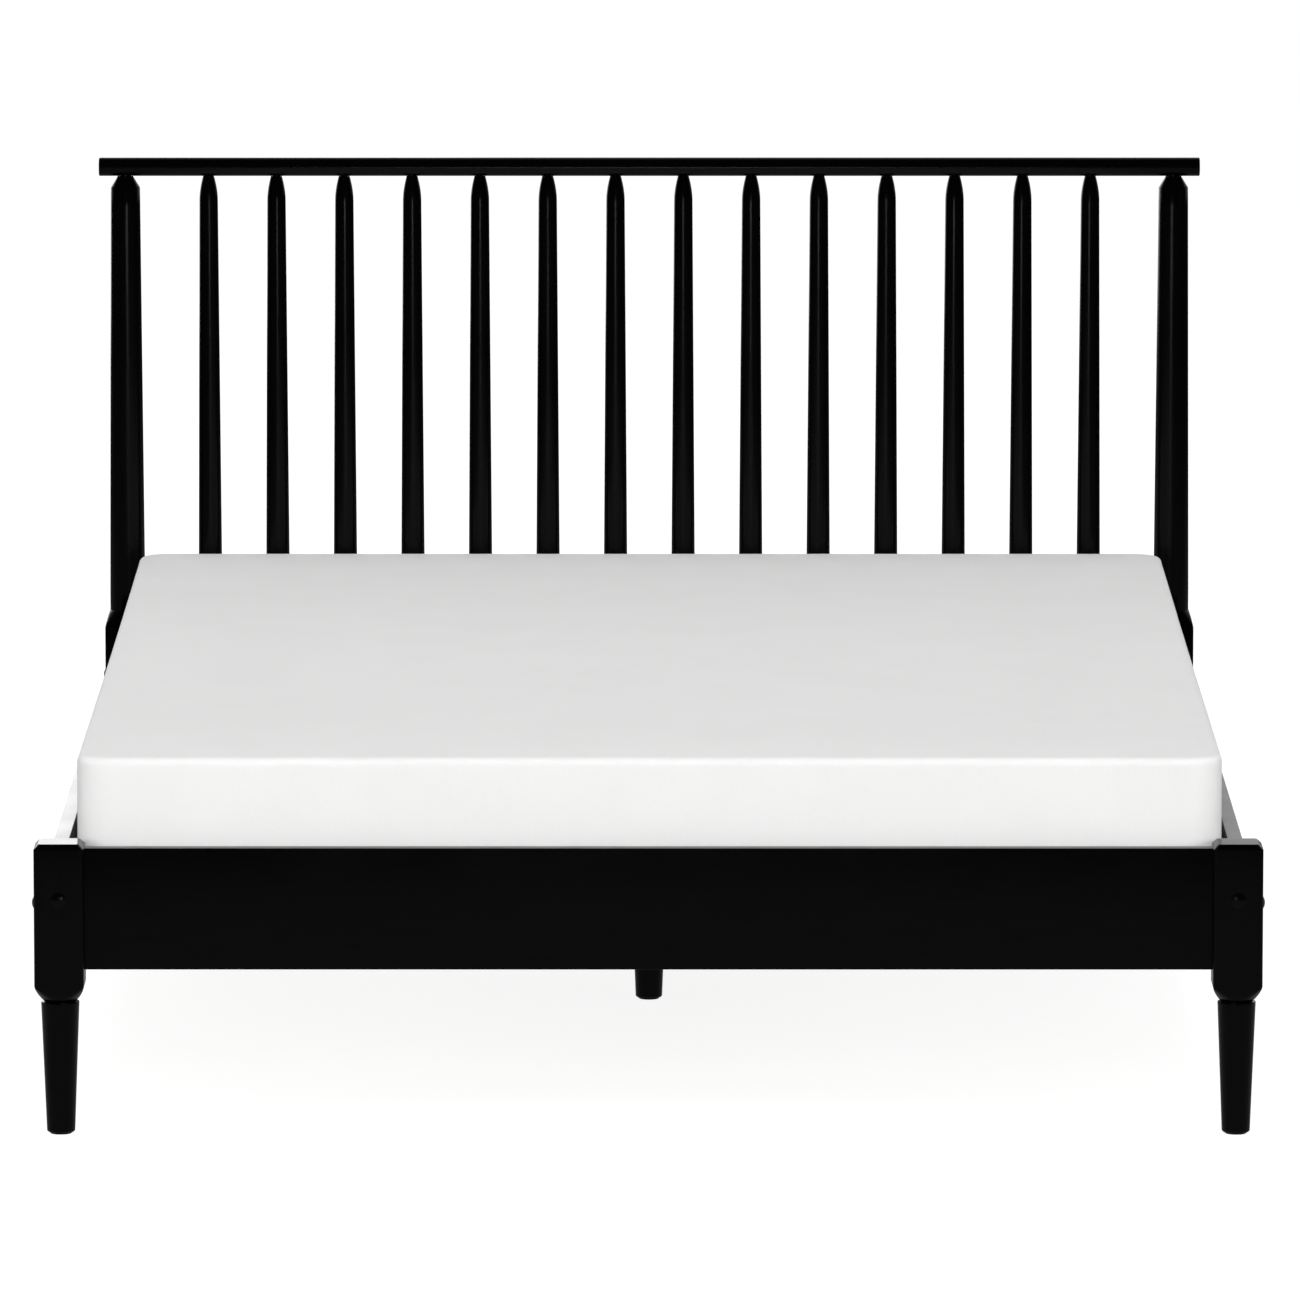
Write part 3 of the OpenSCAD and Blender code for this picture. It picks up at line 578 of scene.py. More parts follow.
def ring_share(tree, rings):
    """From 0 on a turned piece's first ring to 1 on its last."""
    index = put(tree, "GeometryNodeInputIndex").outputs["Index"]
    return sum_of(tree, "DIVIDE", index, float(rings - 1))


def turned(tree, rings, sides, height, radius):
    """A turned piece about Z, smooth and closed, whose rings have these heights and radii."""
    line = put(tree, "GeometryNodeCurvePrimitiveLine", {"Start": (0, 0, 0), "End": (0, 0, 1)})
    spaced = put(tree, "GeometryNodeResampleCurve", {"Curve": line.outputs["Curve"], "Count": rings})
    axis = put(tree, "GeometryNodeSetPosition", {
        "Geometry": spaced.outputs["Curve"],
        "Position": vector(tree, Z=height),
    })
    circle = put(tree, "GeometryNodeCurvePrimitiveCircle", {"Resolution": sides, "Radius": 1.0})
    skin = put(tree, "GeometryNodeCurveToMesh", {
        "Curve": axis.outputs["Geometry"],
        "Profile Curve": circle.outputs["Curve"],
        "Scale": radius,
        "Fill Caps": True,
    })
    return put(tree, "GeometryNodeSetShadeSmooth", {"Geometry": skin.outputs["Mesh"]}).outputs["Geometry"]


def joined(tree, *parts):
    """Parts of one piece, together."""
    whole = put(tree, "GeometryNodeJoinGeometry")
    for part in parts:
        tree.links.new(part, whole.inputs[0])
    return whole.outputs[0]


def finished(tree, result, points, part, material, turn=None):
    """Copies a part to its points, makes the copies real and gives them their material."""
    copies = put(tree, "GeometryNodeInstanceOnPoints", {"Points": points, "Instance": part})
    if turn:
        tree.links.new(turn, copies.inputs["Rotation"])
    real = put(tree, "GeometryNodeRealizeInstances", {"Geometry": copies.outputs["Instances"]})
    coated = put(tree, "GeometryNodeSetMaterial", {
        "Geometry": real.outputs["Geometry"],
        "Material": material,
    })
    tree.links.new(coated.outputs["Geometry"], result.inputs[0])


def facing_turn(tree):
    """The turn that points a part's top along its point's facing."""
    facing = put(tree, "GeometryNodeInputNamedAttribute", {"Name": "facing"}, data_type="FLOAT_VECTOR")
    vector = facing.outputs["Attribute"]
    return put(tree, "FunctionNodeAlignRotationToVector", {"Vector": vector}, axis="Z").outputs["Rotation"]


def seats(name, places):
    """Points for fasteners, from (point, facing)."""
    mesh = bpy.data.meshes.new(name)
    mesh.from_pydata([point for point, facing in places], [], [])
    attribute = mesh.attributes.new("facing", "FLOAT_VECTOR", "POINT")
    for item, (point, facing) in zip(attribute.data, places):
        item.vector = facing
    return mesh


def grown(name, tree, values, start=None):
    """A plain mesh object from a tree. The inputs are set by identifier before it is first evaluated."""
    seed = placed(name + "_seed", start or bpy.data.meshes.new(name + "_seed"))
    modifier = seed.modifiers.new(name, "NODES")
    modifier.node_group = tree
    for item in tree.interface.items_tree:
        if item.item_type == "SOCKET" and item.in_out == "INPUT" and item.name in values:
            modifier[item.identifier] = values[item.name]
    mesh = modified(seed)
    bpy.data.objects.remove(seed)
    for attribute in [a for a in mesh.attributes if a.name == "facing"]:
        mesh.attributes.remove(attribute)
    mesh.set_sharp_from_angle(angle=SHARP_ANGLE)
    return placed(name, mesh)


def cap_tree():
    """A dome that is part of a ball, over a round plug."""
    tree, given, result = new_tree("bolt_cap", {
        "Seats": "Geometry",
        **{key: "Float" for key in CAP_SIZES},
        "Plastic": "Material",
    })
    radius, rise = given["Cap radius"], given["Cap height"]
    radius_square = sum_of(tree, "MULTIPLY", radius, radius)
    squares = sum_of(tree, "ADD", radius_square, sum_of(tree, "MULTIPLY", rise, rise))
    ball = sum_of(tree, "DIVIDE", squares, sum_of(tree, "MULTIPLY", rise, 2.0))
    spread = sum_of(tree, "ARCSINE", sum_of(tree, "DIVIDE", radius, ball))
    left = sum_of(tree, "SUBTRACT", 1 + POLE_GAP, ring_share(tree, CAP_RINGS))
    angle = sum_of(tree, "MULTIPLY", spread, sum_of(tree, "MINIMUM", left, 1.0))
    dome_radius = sum_of(tree, "MULTIPLY", ball, sum_of(tree, "SINE", angle))
    level = sum_of(tree, "MULTIPLY", ball, sum_of(tree, "COSINE", angle))
    height = sum_of(tree, "SUBTRACT", level, sum_of(tree, "SUBTRACT", ball, rise))
    dome = turned(tree, CAP_RINGS, CAP_SIDES, height, dome_radius)
    plug_middle = sum_of(tree, "MULTIPLY", given["Plug length"], -0.5)
    plug = pin(tree, CAP_SIDES, given["Plug radius"], given["Plug length"], plug_middle)
    part = joined(tree, dome, plug)
    finished(tree, result, given["Seats"], part, given["Plastic"], facing_turn(tree))
    return tree


black_plastic = moulded_plastic()
post_x = (foot_low.x + foot_high.x) / 2
post_y = (foot_low.y + foot_high.y) / 2
end_bolt_z = sum(v.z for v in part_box("end_rail_bolts")) / 2
side_bolt_z = sum(v.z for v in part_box("side_rail_bolts")) / 2
cap_seats = []
for sx in (-1, 1):
    for sy in (-1, 1):
        cap_seats.append(((sx * (abs(post_x) + post_half), sy * abs(post_y), end_bolt_z), (sx, 0, 0)))
        cap_seats.append(((sx * abs(post_x), sy * (abs(post_y) + post_half), side_bolt_z), (0, sy, 0)))
caps = grown("moulded_bolt_caps", cap_tree(), {
    "Plastic": black_plastic,
    **CAP_SIZES,
}, seats("caps", cap_seats))
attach(caps, "bed_frame")
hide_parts("bolt_caps")


# Headboard top rail
# A round painted rod of hardwood with slightly broken edges at its ends. It lies across the tops of the
# posts and spindles, whose tenons are glued into it.
ROD_SIDES = 96
ROD_STEPS = 30
ROD_CHAMFER = 0.001

low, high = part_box("headboard_top_rail")
rod_radius = (high.z - low.z) / 2
rod_y, rod_z = (low.y + high.y) / 2, (low.z + high.z) / 2
rod_length = high.x - low.x - 2 * ROD_CHAMFER
profile = [(low.x, rod_radius - ROD_CHAMFER)]
profile += [(low.x + ROD_CHAMFER + rod_length * k / ROD_STEPS, rod_radius) for k in range(ROD_STEPS + 1)]
profile += [(high.x, rod_radius - ROD_CHAMFER)]
turns = [2 * math.pi * k / ROD_SIDES for k in range(ROD_SIDES)]
rod_rings = [[(x, rod_y + r * math.cos(a), rod_z + r * math.sin(a)) for a in turns] for x, r in profile]
top_rail = stacked("painted_headboard_top_rail", rod_rings, paint_across)
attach(top_rail, "bed_frame")
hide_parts("headboard_top_rail")


# Spindles
# Fourteen turned and painted spindles stand between the lower rail and the top rail. Each tapers evenly
# upwards and is necked in by a parabola at both ends, where a thinner tenon goes into the rail.
SPINDLE_COUNT = 14
SPINDLE_SIZES = {
    "Low radius": 0.0181,
    "High radius": 0.0136,
    "Neck radius": 0.00825,
    "Neck height": 0.037,
    "Tenon radius": 0.0055,
}
SPINDLE_SIDES = 48
SPINDLE_RINGS = 46
NECK_SHARE = 0.36


def spindle_tree():
    """A row of spindles: a third of a spindle's rings lie in each neck, and the rest between them."""
    tree, given, result = new_tree("spindle_row", {
        "Count": "Int",
        "First": "Vector",
        "Pitch": "Float",
        "Height": "Float",
        **{key: "Float" for key in SPINDLE_SIZES},
        "Tenon length": "Float",
        "Paint": "Material",
    })
    share = ring_share(tree, SPINDLE_RINGS)
    lower = sum_of(tree, "DIVIDE", share, NECK_SHARE, clamp=True)
    between = sum_of(tree, "SUBTRACT", share, NECK_SHARE)
    middle = sum_of(tree, "DIVIDE", between, 1 - 2 * NECK_SHARE, clamp=True)
    last = sum_of(tree, "SUBTRACT", share, 1 - NECK_SHARE)
    upper = sum_of(tree, "DIVIDE", last, NECK_SHARE, clamp=True)
    necks = sum_of(tree, "MULTIPLY", sum_of(tree, "ADD", lower, upper), given["Neck height"])
    both_necks = sum_of(tree, "MULTIPLY", given["Neck height"], 2.0)
    body = sum_of(tree, "MULTIPLY", middle, sum_of(tree, "SUBTRACT", given["Height"], both_necks))
    height = sum_of(tree, "ADD", necks, body)
    taper = sum_of(tree, "DIVIDE", height, given["Height"])
    full = ranged(tree, taper, 0.0, 1.0, given["Low radius"], given["High radius"])
    low_depth = sum_of(tree, "POWER", sum_of(tree, "SUBTRACT", 1.0, lower), 2.0)
    high_depth = sum_of(tree, "POWER", upper, 2.0)
    depth = sum_of(tree, "MAXIMUM", low_depth, high_depth)
    drawn_in = sum_of(tree, "MULTIPLY", depth, sum_of(tree, "SUBTRACT", full, given["Neck radius"]))
    radius = sum_of(tree, "SUBTRACT", full, drawn_in)
    spindle = turned(tree, SPINDLE_RINGS, SPINDLE_SIDES, height, radius)
    tenon = pin(tree, SPINDLE_SIDES, given["Tenon radius"], given["Tenon length"], given["Height"])
    row = row_of(tree, given["Count"], given["First"], vector(tree, X=given["Pitch"]))
    finished(tree, result, row, joined(tree, spindle, tenon), given["Paint"])
    return tree


spindle_nodes = [f"spindle_{i:02d}" for i in range(1, SPINDLE_COUNT + 1)]
first_low, first_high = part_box(spindle_nodes[0])
last_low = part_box(spindle_nodes[-1])[0]
rail_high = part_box("headboard_lower_rail")[1].z
spindles = grown("painted_spindles", spindle_tree(), {
    "Count": SPINDLE_COUNT,
    "First": ((first_low.x + first_high.x) / 2, (first_low.y + first_high.y) / 2, rail_high),
    "Pitch": (last_low.x - first_low.x) / (SPINDLE_COUNT - 1),
    "Height": TENON_SEAT - rail_high,
    "Tenon length": 2 * (first_high.z - TENON_SEAT),
    "Paint": paint_upright,
    **SPINDLE_SIZES,
})
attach(spindles, "bed_frame")
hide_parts(*spindle_nodes)


# Ledgers and centre beam
# Planed pine carries the slats: a strip screwed along the inside of each side rail, and a beam down the
# middle whose ends sit in folded, zinc-plated hangers.
finish_nodes(pine_along, "ledger_left", "ledger_right", "centre_beam")
finish_nodes(zinc_steel, "beam_hanger_foot", "beam_hanger_head", "hanger_screws")


# Centre leg
# A turned and painted leg like the others stands under the middle of the beam. A threaded bolt in its top
# goes up into a threaded insert in the beam.
low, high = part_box("centre_leg")
centre_levels = leg_levels(high.z - LEG_CHAMFER)
centre_levels.append((high.z, FREE, centre_levels[-1][2] - LEG_CHAMFER))
centre_leg = stacked("painted_centre_leg", post_rings(centre_levels, 0, 0), paint_upright)
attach(centre_leg, "bed_frame")
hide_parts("centre_leg")
finish_nodes(zinc_steel, "centre_leg_bolt", "centre_leg_insert")


# Floor glides
# A thin disc of black moulded plastic is nailed under each of the five legs.
finish_nodes(black_plastic, "floor_glides")


# Slats
# Fourteen boards of planed pine with eased long edges lie across the ledgers and the beam, with three
# countersunk holes in each for its screws.
SLAT_COUNT = 14
SLAT_EDGE = 0.002
SLAT_HOLE = {"Hole radius": 0.0041, "Shank radius": 0.0021, "Hole depth": 0.0021}


def slat_tree():
    """A row of boards along Y, each with its screws' holes."""
    tree, given, result = new_tree("slat_row", {
        "Count": "Int",
        "First": "Vector",
        "Pitch": "Float",
        "Length": "Float",
        "Width": "Float",
        "Thickness": "Float",
        "Edge": "Float",
        "Hole spread": "Float",
        **{key: "Float" for key in SLAT_HOLE},
        "Wood": "Material",
    })
    section = put(tree, "GeometryNodeCurvePrimitiveQuadrilateral", {0: given["Width"], 1: given["Thickness"]})
    eased = put(tree, "GeometryNodeFilletCurve", {
        "Curve": section.outputs["Curve"],
        "Count": 4,
        "Radius": given["Edge"],
    }, mode="POLY")
    half = sum_of(tree, "MULTIPLY", given["Length"], 0.5)
    run = put(tree, "GeometryNodeCurvePrimitiveLine", {
        "Start": vector(tree, X=sum_of(tree, "MULTIPLY", half, -1.0)),
        "End": vector(tree, X=half),
    })
    plank = put(tree, "GeometryNodeCurveToMesh", {
        "Curve": run.outputs["Curve"],
        "Profile Curve": eased.outputs["Curve"],
        "Fill Caps": True,
    })
    wide = sum_of(tree, "MULTIPLY", given["Hole radius"], 2.0)
    hole = put(tree, "GeometryNodeMeshCone", {
        "Vertices": 24,
        "Radius Top": sum_of(tree, "SUBTRACT", wide, given["Shank radius"]),
        "Radius Bottom": given["Shank radius"],
        "Depth": sum_of(tree, "MULTIPLY", given["Hole depth"], 2.0),
    })
    back = sum_of(tree, "MULTIPLY", given["Hole spread"], -1.0)
    top = sum_of(tree, "MULTIPLY", given["Thickness"], 0.5)
    mouth = vector(tree, X=back, Z=sum_of(tree, "SUBTRACT", top, given["Hole depth"]))
    mouths = row_of(tree, 3, mouth, vector(tree, X=given["Hole spread"]))
    cutters = put(tree, "GeometryNodeInstanceOnPoints", {
        "Points": mouths,
        "Instance": hole.outputs["Mesh"],
    })
    cut_mesh = put(tree, "GeometryNodeRealizeInstances", {"Geometry": cutters.outputs["Instances"]})
    bored = put(tree, "GeometryNodeMeshBoolean", {
        "Mesh 1": plank.outputs["Mesh"],
        "Mesh 2": cut_mesh.outputs["Geometry"],
    }, operation="DIFFERENCE", solver="EXACT")
    smooth = put(tree, "GeometryNodeSetShadeSmooth", {"Geometry": bored.outputs["Mesh"]})
    row = row_of(tree, given["Count"], given["First"], vector(tree, Y=given["Pitch"]))
    finished(tree, result, row, smooth.outputs["Geometry"], given["Wood"])
    return tree


slat_nodes = [f"slat_{i:02d}" for i in range(1, SLAT_COUNT + 1)]
first_low, first_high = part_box(slat_nodes[0])
last_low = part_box(slat_nodes[-1])[0]
ledger_low, ledger_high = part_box("ledger_right")
screw_x = (ledger_low.x + ledger_high.x) / 2
slats = grown("pine_slats", slat_tree(), {
    "Count": SLAT_COUNT,
    "First": tuple((first_low + first_high) / 2),
    "Pitch": (last_low.y - first_low.y) / (SLAT_COUNT - 1),
    "Length": first_high.x - first_low.x,
    "Width": first_high.y - first_low.y,
    "Thickness": first_high.z - first_low.z,
    "Edge": SLAT_EDGE,
    "Hole spread": screw_x,
    "Wood": pine_across,
    **SLAT_HOLE,
})
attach(slats, "bed_frame")
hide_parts(*slat_nodes)


# Wood screws
# Zinc-plated countersunk screws with a cross recess hold the slats down and the ledgers to the side rails.
# Their heads are flush with the wood.
SCREW_SIZES = {"Head radius": 0.004, "Head height": 0.002, "Shank radius": 0.002}
SCREW_TIP = 0.002
SCREW_SIDES = 16
RECESS = {"Recess length": 0.0042, "Recess width": 0.0009, "Recess depth": 0.0014}
SCREW_BITE = 0.014


def screw_tree():
    """A screw whose head's face is at its point, with a cross cut into it."""
    tree, given, result = new_tree("wood_screw", {
        "Seats": "Geometry",
        "Length": "Float",
        **{key: "Float" for key in {**SCREW_SIZES, **RECESS}},
        "Steel": "Material",
    })
    index = put(tree, "GeometryNodeInputIndex").outputs["Index"]
    length, head = given["Length"], given["Head height"]

    def by_ring(values):
        switch = put(tree, "GeometryNodeIndexSwitch", data_type="FLOAT")
        while len(switch.index_switch_items) < len(values):
            switch.index_switch_items.new()
        tree.links.new(index, switch.inputs["Index"])
        for k, value in enumerate(values):
            if isinstance(value, bpy.types.NodeSocket):
                tree.links.new(value, switch.inputs[k + 1])
            else:
                switch.inputs[k + 1].default_value = value
        return switch.outputs[0]

    tip = sum_of(tree, "MULTIPLY", length, -1.0)
    shank_low = sum_of(tree, "ADD", tip, SCREW_TIP)
    shank_high = sum_of(tree, "MULTIPLY", head, -1.0)
    height = by_ring([tip, shank_low, shank_high, 0.0])
    radius = by_ring([0.0005, given["Shank radius"], given["Shank radius"], given["Head radius"]])
    body = turned(tree, 4, SCREW_SIDES, height, radius)
    slots = []
    for size in (("Recess length", "Recess width"), ("Recess width", "Recess length")):
        twice = sum_of(tree, "MULTIPLY", given["Recess depth"], 2.0)
        bulk = vector(tree, X=given[size[0]], Y=given[size[1]], Z=twice)
        slots.append(put(tree, "GeometryNodeMeshCube", {"Size": bulk}).outputs["Mesh"])
    cut = put(tree, "GeometryNodeMeshBoolean", {"Mesh 1": body}, operation="DIFFERENCE", solver="EXACT")
    for slot in slots:
        tree.links.new(slot, cut.inputs["Mesh 2"])
    finished(tree, result, given["Seats"], cut.outputs["Mesh"], given["Steel"], facing_turn(tree))
    return tree


slat_top = first_high.z
slat_ys = [(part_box(name)[0].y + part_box(name)[1].y) / 2 for name in slat_nodes]
slat_seats = [((x, y, slat_top), (0, 0, 1)) for y in slat_ys for x in (-screw_x, 0, screw_x)]
screw_shape = screw_tree()
slat_screws = grown("zinc_slat_screws", screw_shape, {
    "Length": first_high.z - first_low.z + SCREW_BITE,
    "Steel": zinc_steel,
    **SCREW_SIZES,
    **RECESS,
}, seats("slat_screw_seats", slat_seats))
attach(slat_screws, "bed_frame")
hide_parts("slat_screws")

LEDGER_SCREWS = 7
screws_low, screws_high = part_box("ledger_screws")
ledger_screw_z = (screws_low.z + screws_high.z) / 2
run_low, run_high = screws_low.y + SCREW_SIZES["Head radius"], screws_high.y - SCREW_SIZES["Head radius"]
ledger_seats = []
for side in (-1, 1):
    for k in range(LEDGER_SCREWS):
        y = run_low + (run_high - run_low) * k / (LEDGER_SCREWS - 1)
        ledger_seats.append(((side * ledger_low.x, y, ledger_screw_z), (-side, 0, 0)))
ledger_screws = grown("zinc_ledger_screws", screw_shape, {
    "Length": ledger_high.x - ledger_low.x + SCREW_BITE,
    "Steel": zinc_steel,
    **SCREW_SIZES,
    **RECESS,
}, seats("ledger_screw_seats", ledger_seats))
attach(ledger_screws, "bed_frame")
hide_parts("ledger_screws")


# Mattress
# A foam and spring mattress in a plain white knitted cover, which lies loose on the slats. The cover is
# stretched tight, so its top is nearly flat, its edges are softly rounded and its sides draw in a little.
CORNER = 0.044
EDGE = 0.010
SIDE_SPARE = 0.0015
SIDEWAYS = 0.0018
TOP_TUCK = 0.0055
BASE_TUCK = 0.003
FINE_LINES = (0.0, 0.004, 0.008, 0.012, 0.016, 0.023, 0.031, 0.040, 0.052)
COARSE_STEP = 0.022
PRESSURE = 3.0
CLOTH_FRAMES = 16
SWELL = 0.005
CLOTH_TENSION = 40
CLOTH_BENDING = 4
CLOTH_QUALITY = 4
FLOOR_CLEAR = 0.0002
KNIT_WHITE = (0.86, 0.86, 0.855, 1)
# The knit's darker colour: painted shade in the pits between the stitches, and the fuzz's random haze
KNIT_PAINTED_SHADE_AND_HAZE = (0.80, 0.80, 0.795, 1)
STITCH = 0.0024
STITCH_DEPTH = 0.0002
FUZZ = 0.0005
FUZZ_DEPTH = 0.00006
CLOUD_SCALE = 9.0
# Painted shade: how far the pits between the stitches are coloured towards the darker colour
PAINTED_PIT_SHADE = (0.3, 0.75, 0.0, 0.5)
CLOUD_SHADE = (-0.1, 0.2)


def knit():
    """White double knit: rows of small raised stitches with a soft sheen, painted shade darkening the pits
    between them, clouded a little by its fuzz.
    """
    material, tree, shader, place = new_material("white_knit", {
        "Roughness": 0.9,
        "IOR": 1.4,
        "Specular IOR Level": 0.25,
        "Sheen Weight": 0.15,
        "Sheen Roughness": 0.5,
    })
    stitches = put(tree, "ShaderNodeTexVoronoi", {"Vector": place, "Scale": 1 / STITCH, "Randomness": 0.3},
                   feature="SMOOTH_F1")
    fuzz = noise(tree, place, 1 / FUZZ, 2.0)
    cloud = noise(tree, place, CLOUD_SCALE, 5.0)
    # Painted shade: the pits between the raised stitches are coloured darker
    painted_pit_shade = ranged(tree, stitches.outputs["Distance"], *PAINTED_PIT_SHADE)
    haze = ranged(tree, cloud, *NOISE_SPAN, *CLOUD_SHADE)
    shade = sum_of(tree, "ADD", painted_pit_shade, haze, clamp=True)
    tint(tree, shader, shade, KNIT_WHITE, KNIT_PAINTED_SHADE_AND_HAZE)
    relief(tree, shader, (stitches.outputs["Distance"], STITCH_DEPTH, True), (fuzz, FUZZ_DEPTH, False))
    return material


def grid_lines(half):
    """Lines across a face, fine near its edges and even between them."""
    inner = half - FINE_LINES[-1]
    steps = max(2, round(2 * inner / COARSE_STEP))
    between = [-inner + 2 * inner * k / steps for k in range(1, steps)]
    return [-half + line for line in FINE_LINES] + between + [half - line for line in FINE_LINES[::-1]]


def rounded(point, half):
    """A point of a plain block, moved onto the block with its upright corners and its long edges rounded."""
    x, y, z = point
    qx, qy = abs(x) - (half.x - CORNER), abs(y) - (half.y - CORNER)
    outward = Vector((0, 0))
    if qx > 0 and qy > 0:
        reach, length = max(qx, qy), math.hypot(qx, qy)
        outward = Vector((qx / length, qy / length))
        qx, qy = outward * reach
    elif qx > qy:
        outward.x = 1
    else:
        outward.y = 1
    inset = CORNER - max(math.hypot(max(qx, 0), max(qy, 0)), max(qx, qy))
    u, w = EDGE - inset, EDGE - (half.z - abs(z))
    if u > 0 and w > 0:
        reach, length = max(u, w), math.hypot(u, w)
        shift = Vector((u, w)) * (reach / length) - Vector((u, w))
        qx += shift.x * outward.x
        qy += shift.x * outward.y
        z = math.copysign(abs(z) + shift.y, z)
    return Vector((math.copysign(half.x - CORNER + qx, x), math.copysign(half.y - CORNER + qy, y), z))


def block_grid(half, centre):
    """The closed skin of a rounded block, in quads."""
    lines = [grid_lines(half.x), grid_lines(half.y), grid_lines(half.z)]
    places, vertices, faces = {}, [], []

    def corner(i, j, k):
        key = (i, j, k)
        if key not in places:
            places[key] = len(vertices)
            vertices.append(centre + rounded((lines[0][i], lines[1][j], lines[2][k]), half))
        return places[key]

    last = [len(line) - 1 for line in lines]
    for axis in range(3):
        a, b = [i for i in range(3) if i != axis]
        for end in (0, last[axis]):
            for p in range(last[a]):
                for q in range(last[b]):
                    face = []
                    for da, db in ((0, 0), (1, 0), (1, 1), (0, 1)):
                        key = [0, 0, 0]
                        key[axis], key[a], key[b] = end, p + da, q + db
                        face.append(corner(*key))
                    faces.append(face)
    return vertices, faces


def plumped(piece, low, high):
    """Lets the cover swell against its own tension, scaled so that no point moves more than the swell, and
    within its box.
    """
    start = [v.co.copy() for v in piece.data.vertices]
    cloth = piece.modifiers.new("swell", "CLOTH")
    cloth.settings.use_pressure = True
    cloth.settings.uniform_pressure_force = PRESSURE
    cloth.settings.tension_stiffness = CLOTH_TENSION
    cloth.settings.compression_stiffness = CLOTH_TENSION
    cloth.settings.bending_stiffness = CLOTH_BENDING
    cloth.settings.quality = CLOTH_QUALITY
    cloth.settings.effector_weights.gravity = 0
    cloth.point_cache.frame_start = 1
    cloth.point_cache.frame_end = CLOTH_FRAMES
    for step in range(1, CLOTH_FRAMES + 1):
        bpy.context.scene.frame_set(step)
    evaluated = piece.evaluated_get(bpy.context.evaluated_depsgraph_get())
    swollen = [v.co.copy() for v in evaluated.data.vertices]
    piece.modifiers.clear()
    bpy.context.scene.frame_set(1)
    largest = max((after - before).length for before, after in zip(start, swollen))
    for vertex, before, after in zip(piece.data.vertices, start, swollen):
        place = before + (after - before) * SWELL / largest
        for i in range(3):
            place[i] = min(max(place[i], low[i]), high[i])
        vertex.co = place


low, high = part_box("mattress_cover")
centre = (low + high) / 2 + Vector((SIDEWAYS, 0, (BASE_TUCK - TOP_TUCK) / 2))
half = (high - low) / 2 + Vector((SIDE_SPARE, SIDE_SPARE, -(BASE_TUCK + TOP_TUCK) / 2))
vertices, faces = block_grid(half, centre)
white_knit = knit()
mattress = mesh_piece("knitted_mattress", vertices, faces, white_knit)
side_spare = Vector((SIDE_SPARE, SIDE_SPARE, 0))
plumped(mattress, low - side_spare + Vector((0, 0, FLOOR_CLEAR)), high + side_spare)
mattress.data.shade_smooth()
soften = mattress.modifiers.new("soften", "SUBSURF")
soften.levels = soften.render_levels = 1
softened = modified(mattress)
mattress.modifiers.clear()
mattress.data = softened
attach(mattress, "mattress")
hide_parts("mattress_cover", "mattress_core")


# Studio
# A plain pale floor under white surroundings, with soft lamps in front, behind, above and at both sides. Two
# panels are there for the paint's gloss alone. The camera stands where the photograph was taken.
WORLD_LIGHT = 0.38
FLOOR_REACH = 40
FLOOR_BOUNCE = (0.3, 0.3, 0.3, 1)
FLOOR_GLOW = 0.88
FLOOR_SHADE = (0.36, 0.36, 0.36, 1)
# Painted reflection: the floor's glow in reflections alone, full out to the first distance and faded by the
# second
FLOOR_PAINTED_REFLECTION = (3.6, 5.5, 0.36, 0.02)
WALL_IN_GLOSS = (0.2, 0.9, 0.01, 0.93)
CAMERA_PLACE = (0.01034, -16.8073, 2.9128)
CAMERA_TILT = math.radians(81.826)
CAMERA_TURN = math.radians(0.030)
LENS = 332.94
SENSOR = 36
FAR_CLIP = 100

# Each lamp's name, place, the spot it faces, its width, its height and its watts
SOFTBOXES = (
    ("front_softbox", (0, -6, 1.6), (0, 0, 0.4), 4.0, 1.6, 134),
    ("key_softbox", (0, -7, 7), (0, 0, 0.5), 5.0, 3.0, 140),
    ("back_softbox", (0, 7, 6), (0, 0, 0.5), 5.0, 3.0, 120),
    ("top_softbox", (0, 1.5, 5), (0, 1, 0.5), 3.0, 1.6, 33),
    ("left_softbox", (-6, -3.5, 1.6), (0, 0, 0.4), 3.0, 2.0, 100),
    ("right_softbox", (6, -3.5, 1.6), (0, 0, 0.4), 3.0, 2.0, 100),
)
GLOSS_PANELS = (
    ("near_panel", (0, -2.5, 0.72), (0, 1.05, 0.72), 0.9, 0.12, 5.2),
    ("back_panel", (-2.3, 5, 1.5), (-0.8, -1, 0.4), 4.0, 2.4, 66),
)

camera_data = bpy.data.cameras.new("camera")
camera_data.lens = LENS
camera_data.sensor_width = SENSOR
camera_data.clip_end = FAR_CLIP
camera = placed("camera", camera_data)
camera.location = CAMERA_PLACE
camera.rotation_euler = (CAMERA_TILT, 0, CAMERA_TURN)
bpy.context.scene.camera = camera

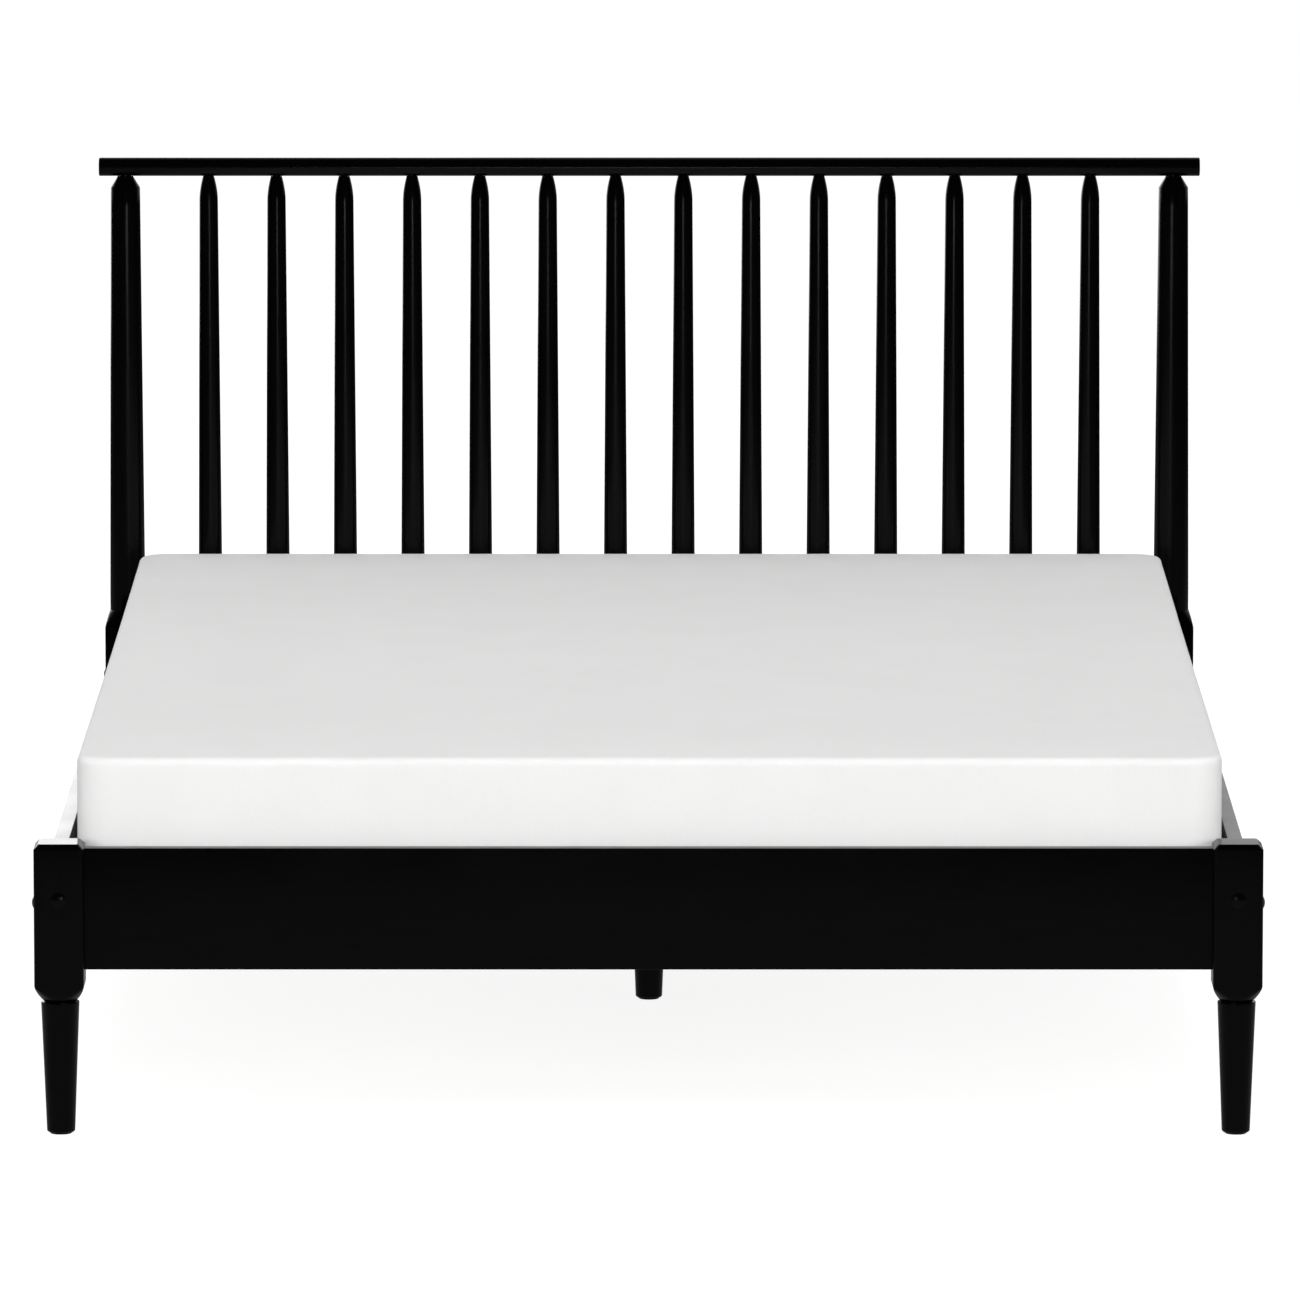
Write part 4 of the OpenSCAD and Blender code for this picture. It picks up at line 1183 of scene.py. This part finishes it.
floor_mesh = bpy.data.meshes.new("floor")
floor_corners = [(x * FLOOR_REACH, y * FLOOR_REACH, 0) for x, y in ((-1, -1), (1, -1), (1, 1), (-1, 1))]
floor_mesh.from_pydata(floor_corners, [], [(0, 1, 2, 3)])
floor = placed("floor", floor_mesh)
floor_paint, tree, shader, spot = new_material("floor_white", {
    "Base Color": FLOOR_BOUNCE,
    "Roughness": 1.0,
    "Specular IOR Level": 0.0,
})
path = put(tree, "ShaderNodeLightPath")
white = put(tree, "ShaderNodeEmission", {"Color": (1, 1, 1, 1), "Strength": FLOOR_GLOW})
shaded = put(tree, "ShaderNodeBsdfDiffuse", {"Color": FLOOR_SHADE})
shown = put(tree, "ShaderNodeAddShader", {0: white.outputs[0], 1: shaded.outputs[0]})
# Painted reflection: in the paint's reflections the floor is a glow, 0.36 out to 3.6 m from the middle and
# 0.02 beyond 5.5 m, in place of its lit colour
reach = put(tree, "ShaderNodeVectorMath", {0: spot}, operation="LENGTH")
painted_floor_reflection = ranged(tree, reach.outputs["Value"], *FLOOR_PAINTED_REFLECTION)
mirrored = put(tree, "ShaderNodeEmission", {"Strength": painted_floor_reflection})
gloss_mix = put(tree, "ShaderNodeMixShader", {
    0: path.outputs["Is Glossy Ray"],
    1: shader.outputs[0],
    2: mirrored.outputs[0],
})
camera_mix = put(tree, "ShaderNodeMixShader", {
    0: path.outputs["Is Camera Ray"],
    1: gloss_mix.outputs[0],
    2: shown.outputs[0],
})
tree.links.new(camera_mix.outputs[0], tree.nodes["Material Output"].inputs["Surface"])
floor_mesh.materials.append(floor_paint)

world = bpy.data.worlds.new("studio")
bpy.context.scene.world = world
world.use_nodes = True
tree = world.node_tree
back = tree.nodes["Background"]
back.inputs["Color"].default_value = (1, 1, 1, 1)
path = put(tree, "ShaderNodeLightPath")
direction = put(tree, "ShaderNodeTexCoord").outputs["Generated"]
forward = put(tree, "ShaderNodeSeparateXYZ", {"Vector": direction}).outputs["Y"]
mirrored = ranged(tree, forward, *WALL_IN_GLOSS)
by_gloss = put(tree, "ShaderNodeMix", {0: path.outputs["Is Glossy Ray"], 2: WORLD_LIGHT, 3: mirrored})
strength = put(tree, "ShaderNodeMix", {0: path.outputs["Is Camera Ray"], 2: by_gloss.outputs[0], 3: 1.0})
tree.links.new(strength.outputs[0], back.inputs["Strength"])


def softbox(name, place, target, width, height, energy, diffuse, glossy):
    """A rectangular lamp that the camera doesn't see."""
    data = bpy.data.lights.new(name, "AREA")
    data.shape = "RECTANGLE"
    data.size = width
    data.size_y = height
    data.energy = energy
    lamp = placed(name, data)
    lamp.location = place
    lamp.rotation_euler = (Vector(target) - Vector(place)).to_track_quat("-Z", "Y").to_euler()
    lamp.visible_camera = False
    lamp.visible_diffuse = diffuse
    lamp.visible_glossy = glossy


for lamp in SOFTBOXES:
    softbox(*lamp, True, False)
for panel in GLOSS_PANELS:
    softbox(*panel, False, True)

bpy.context.scene.view_settings.view_transform = "Standard"
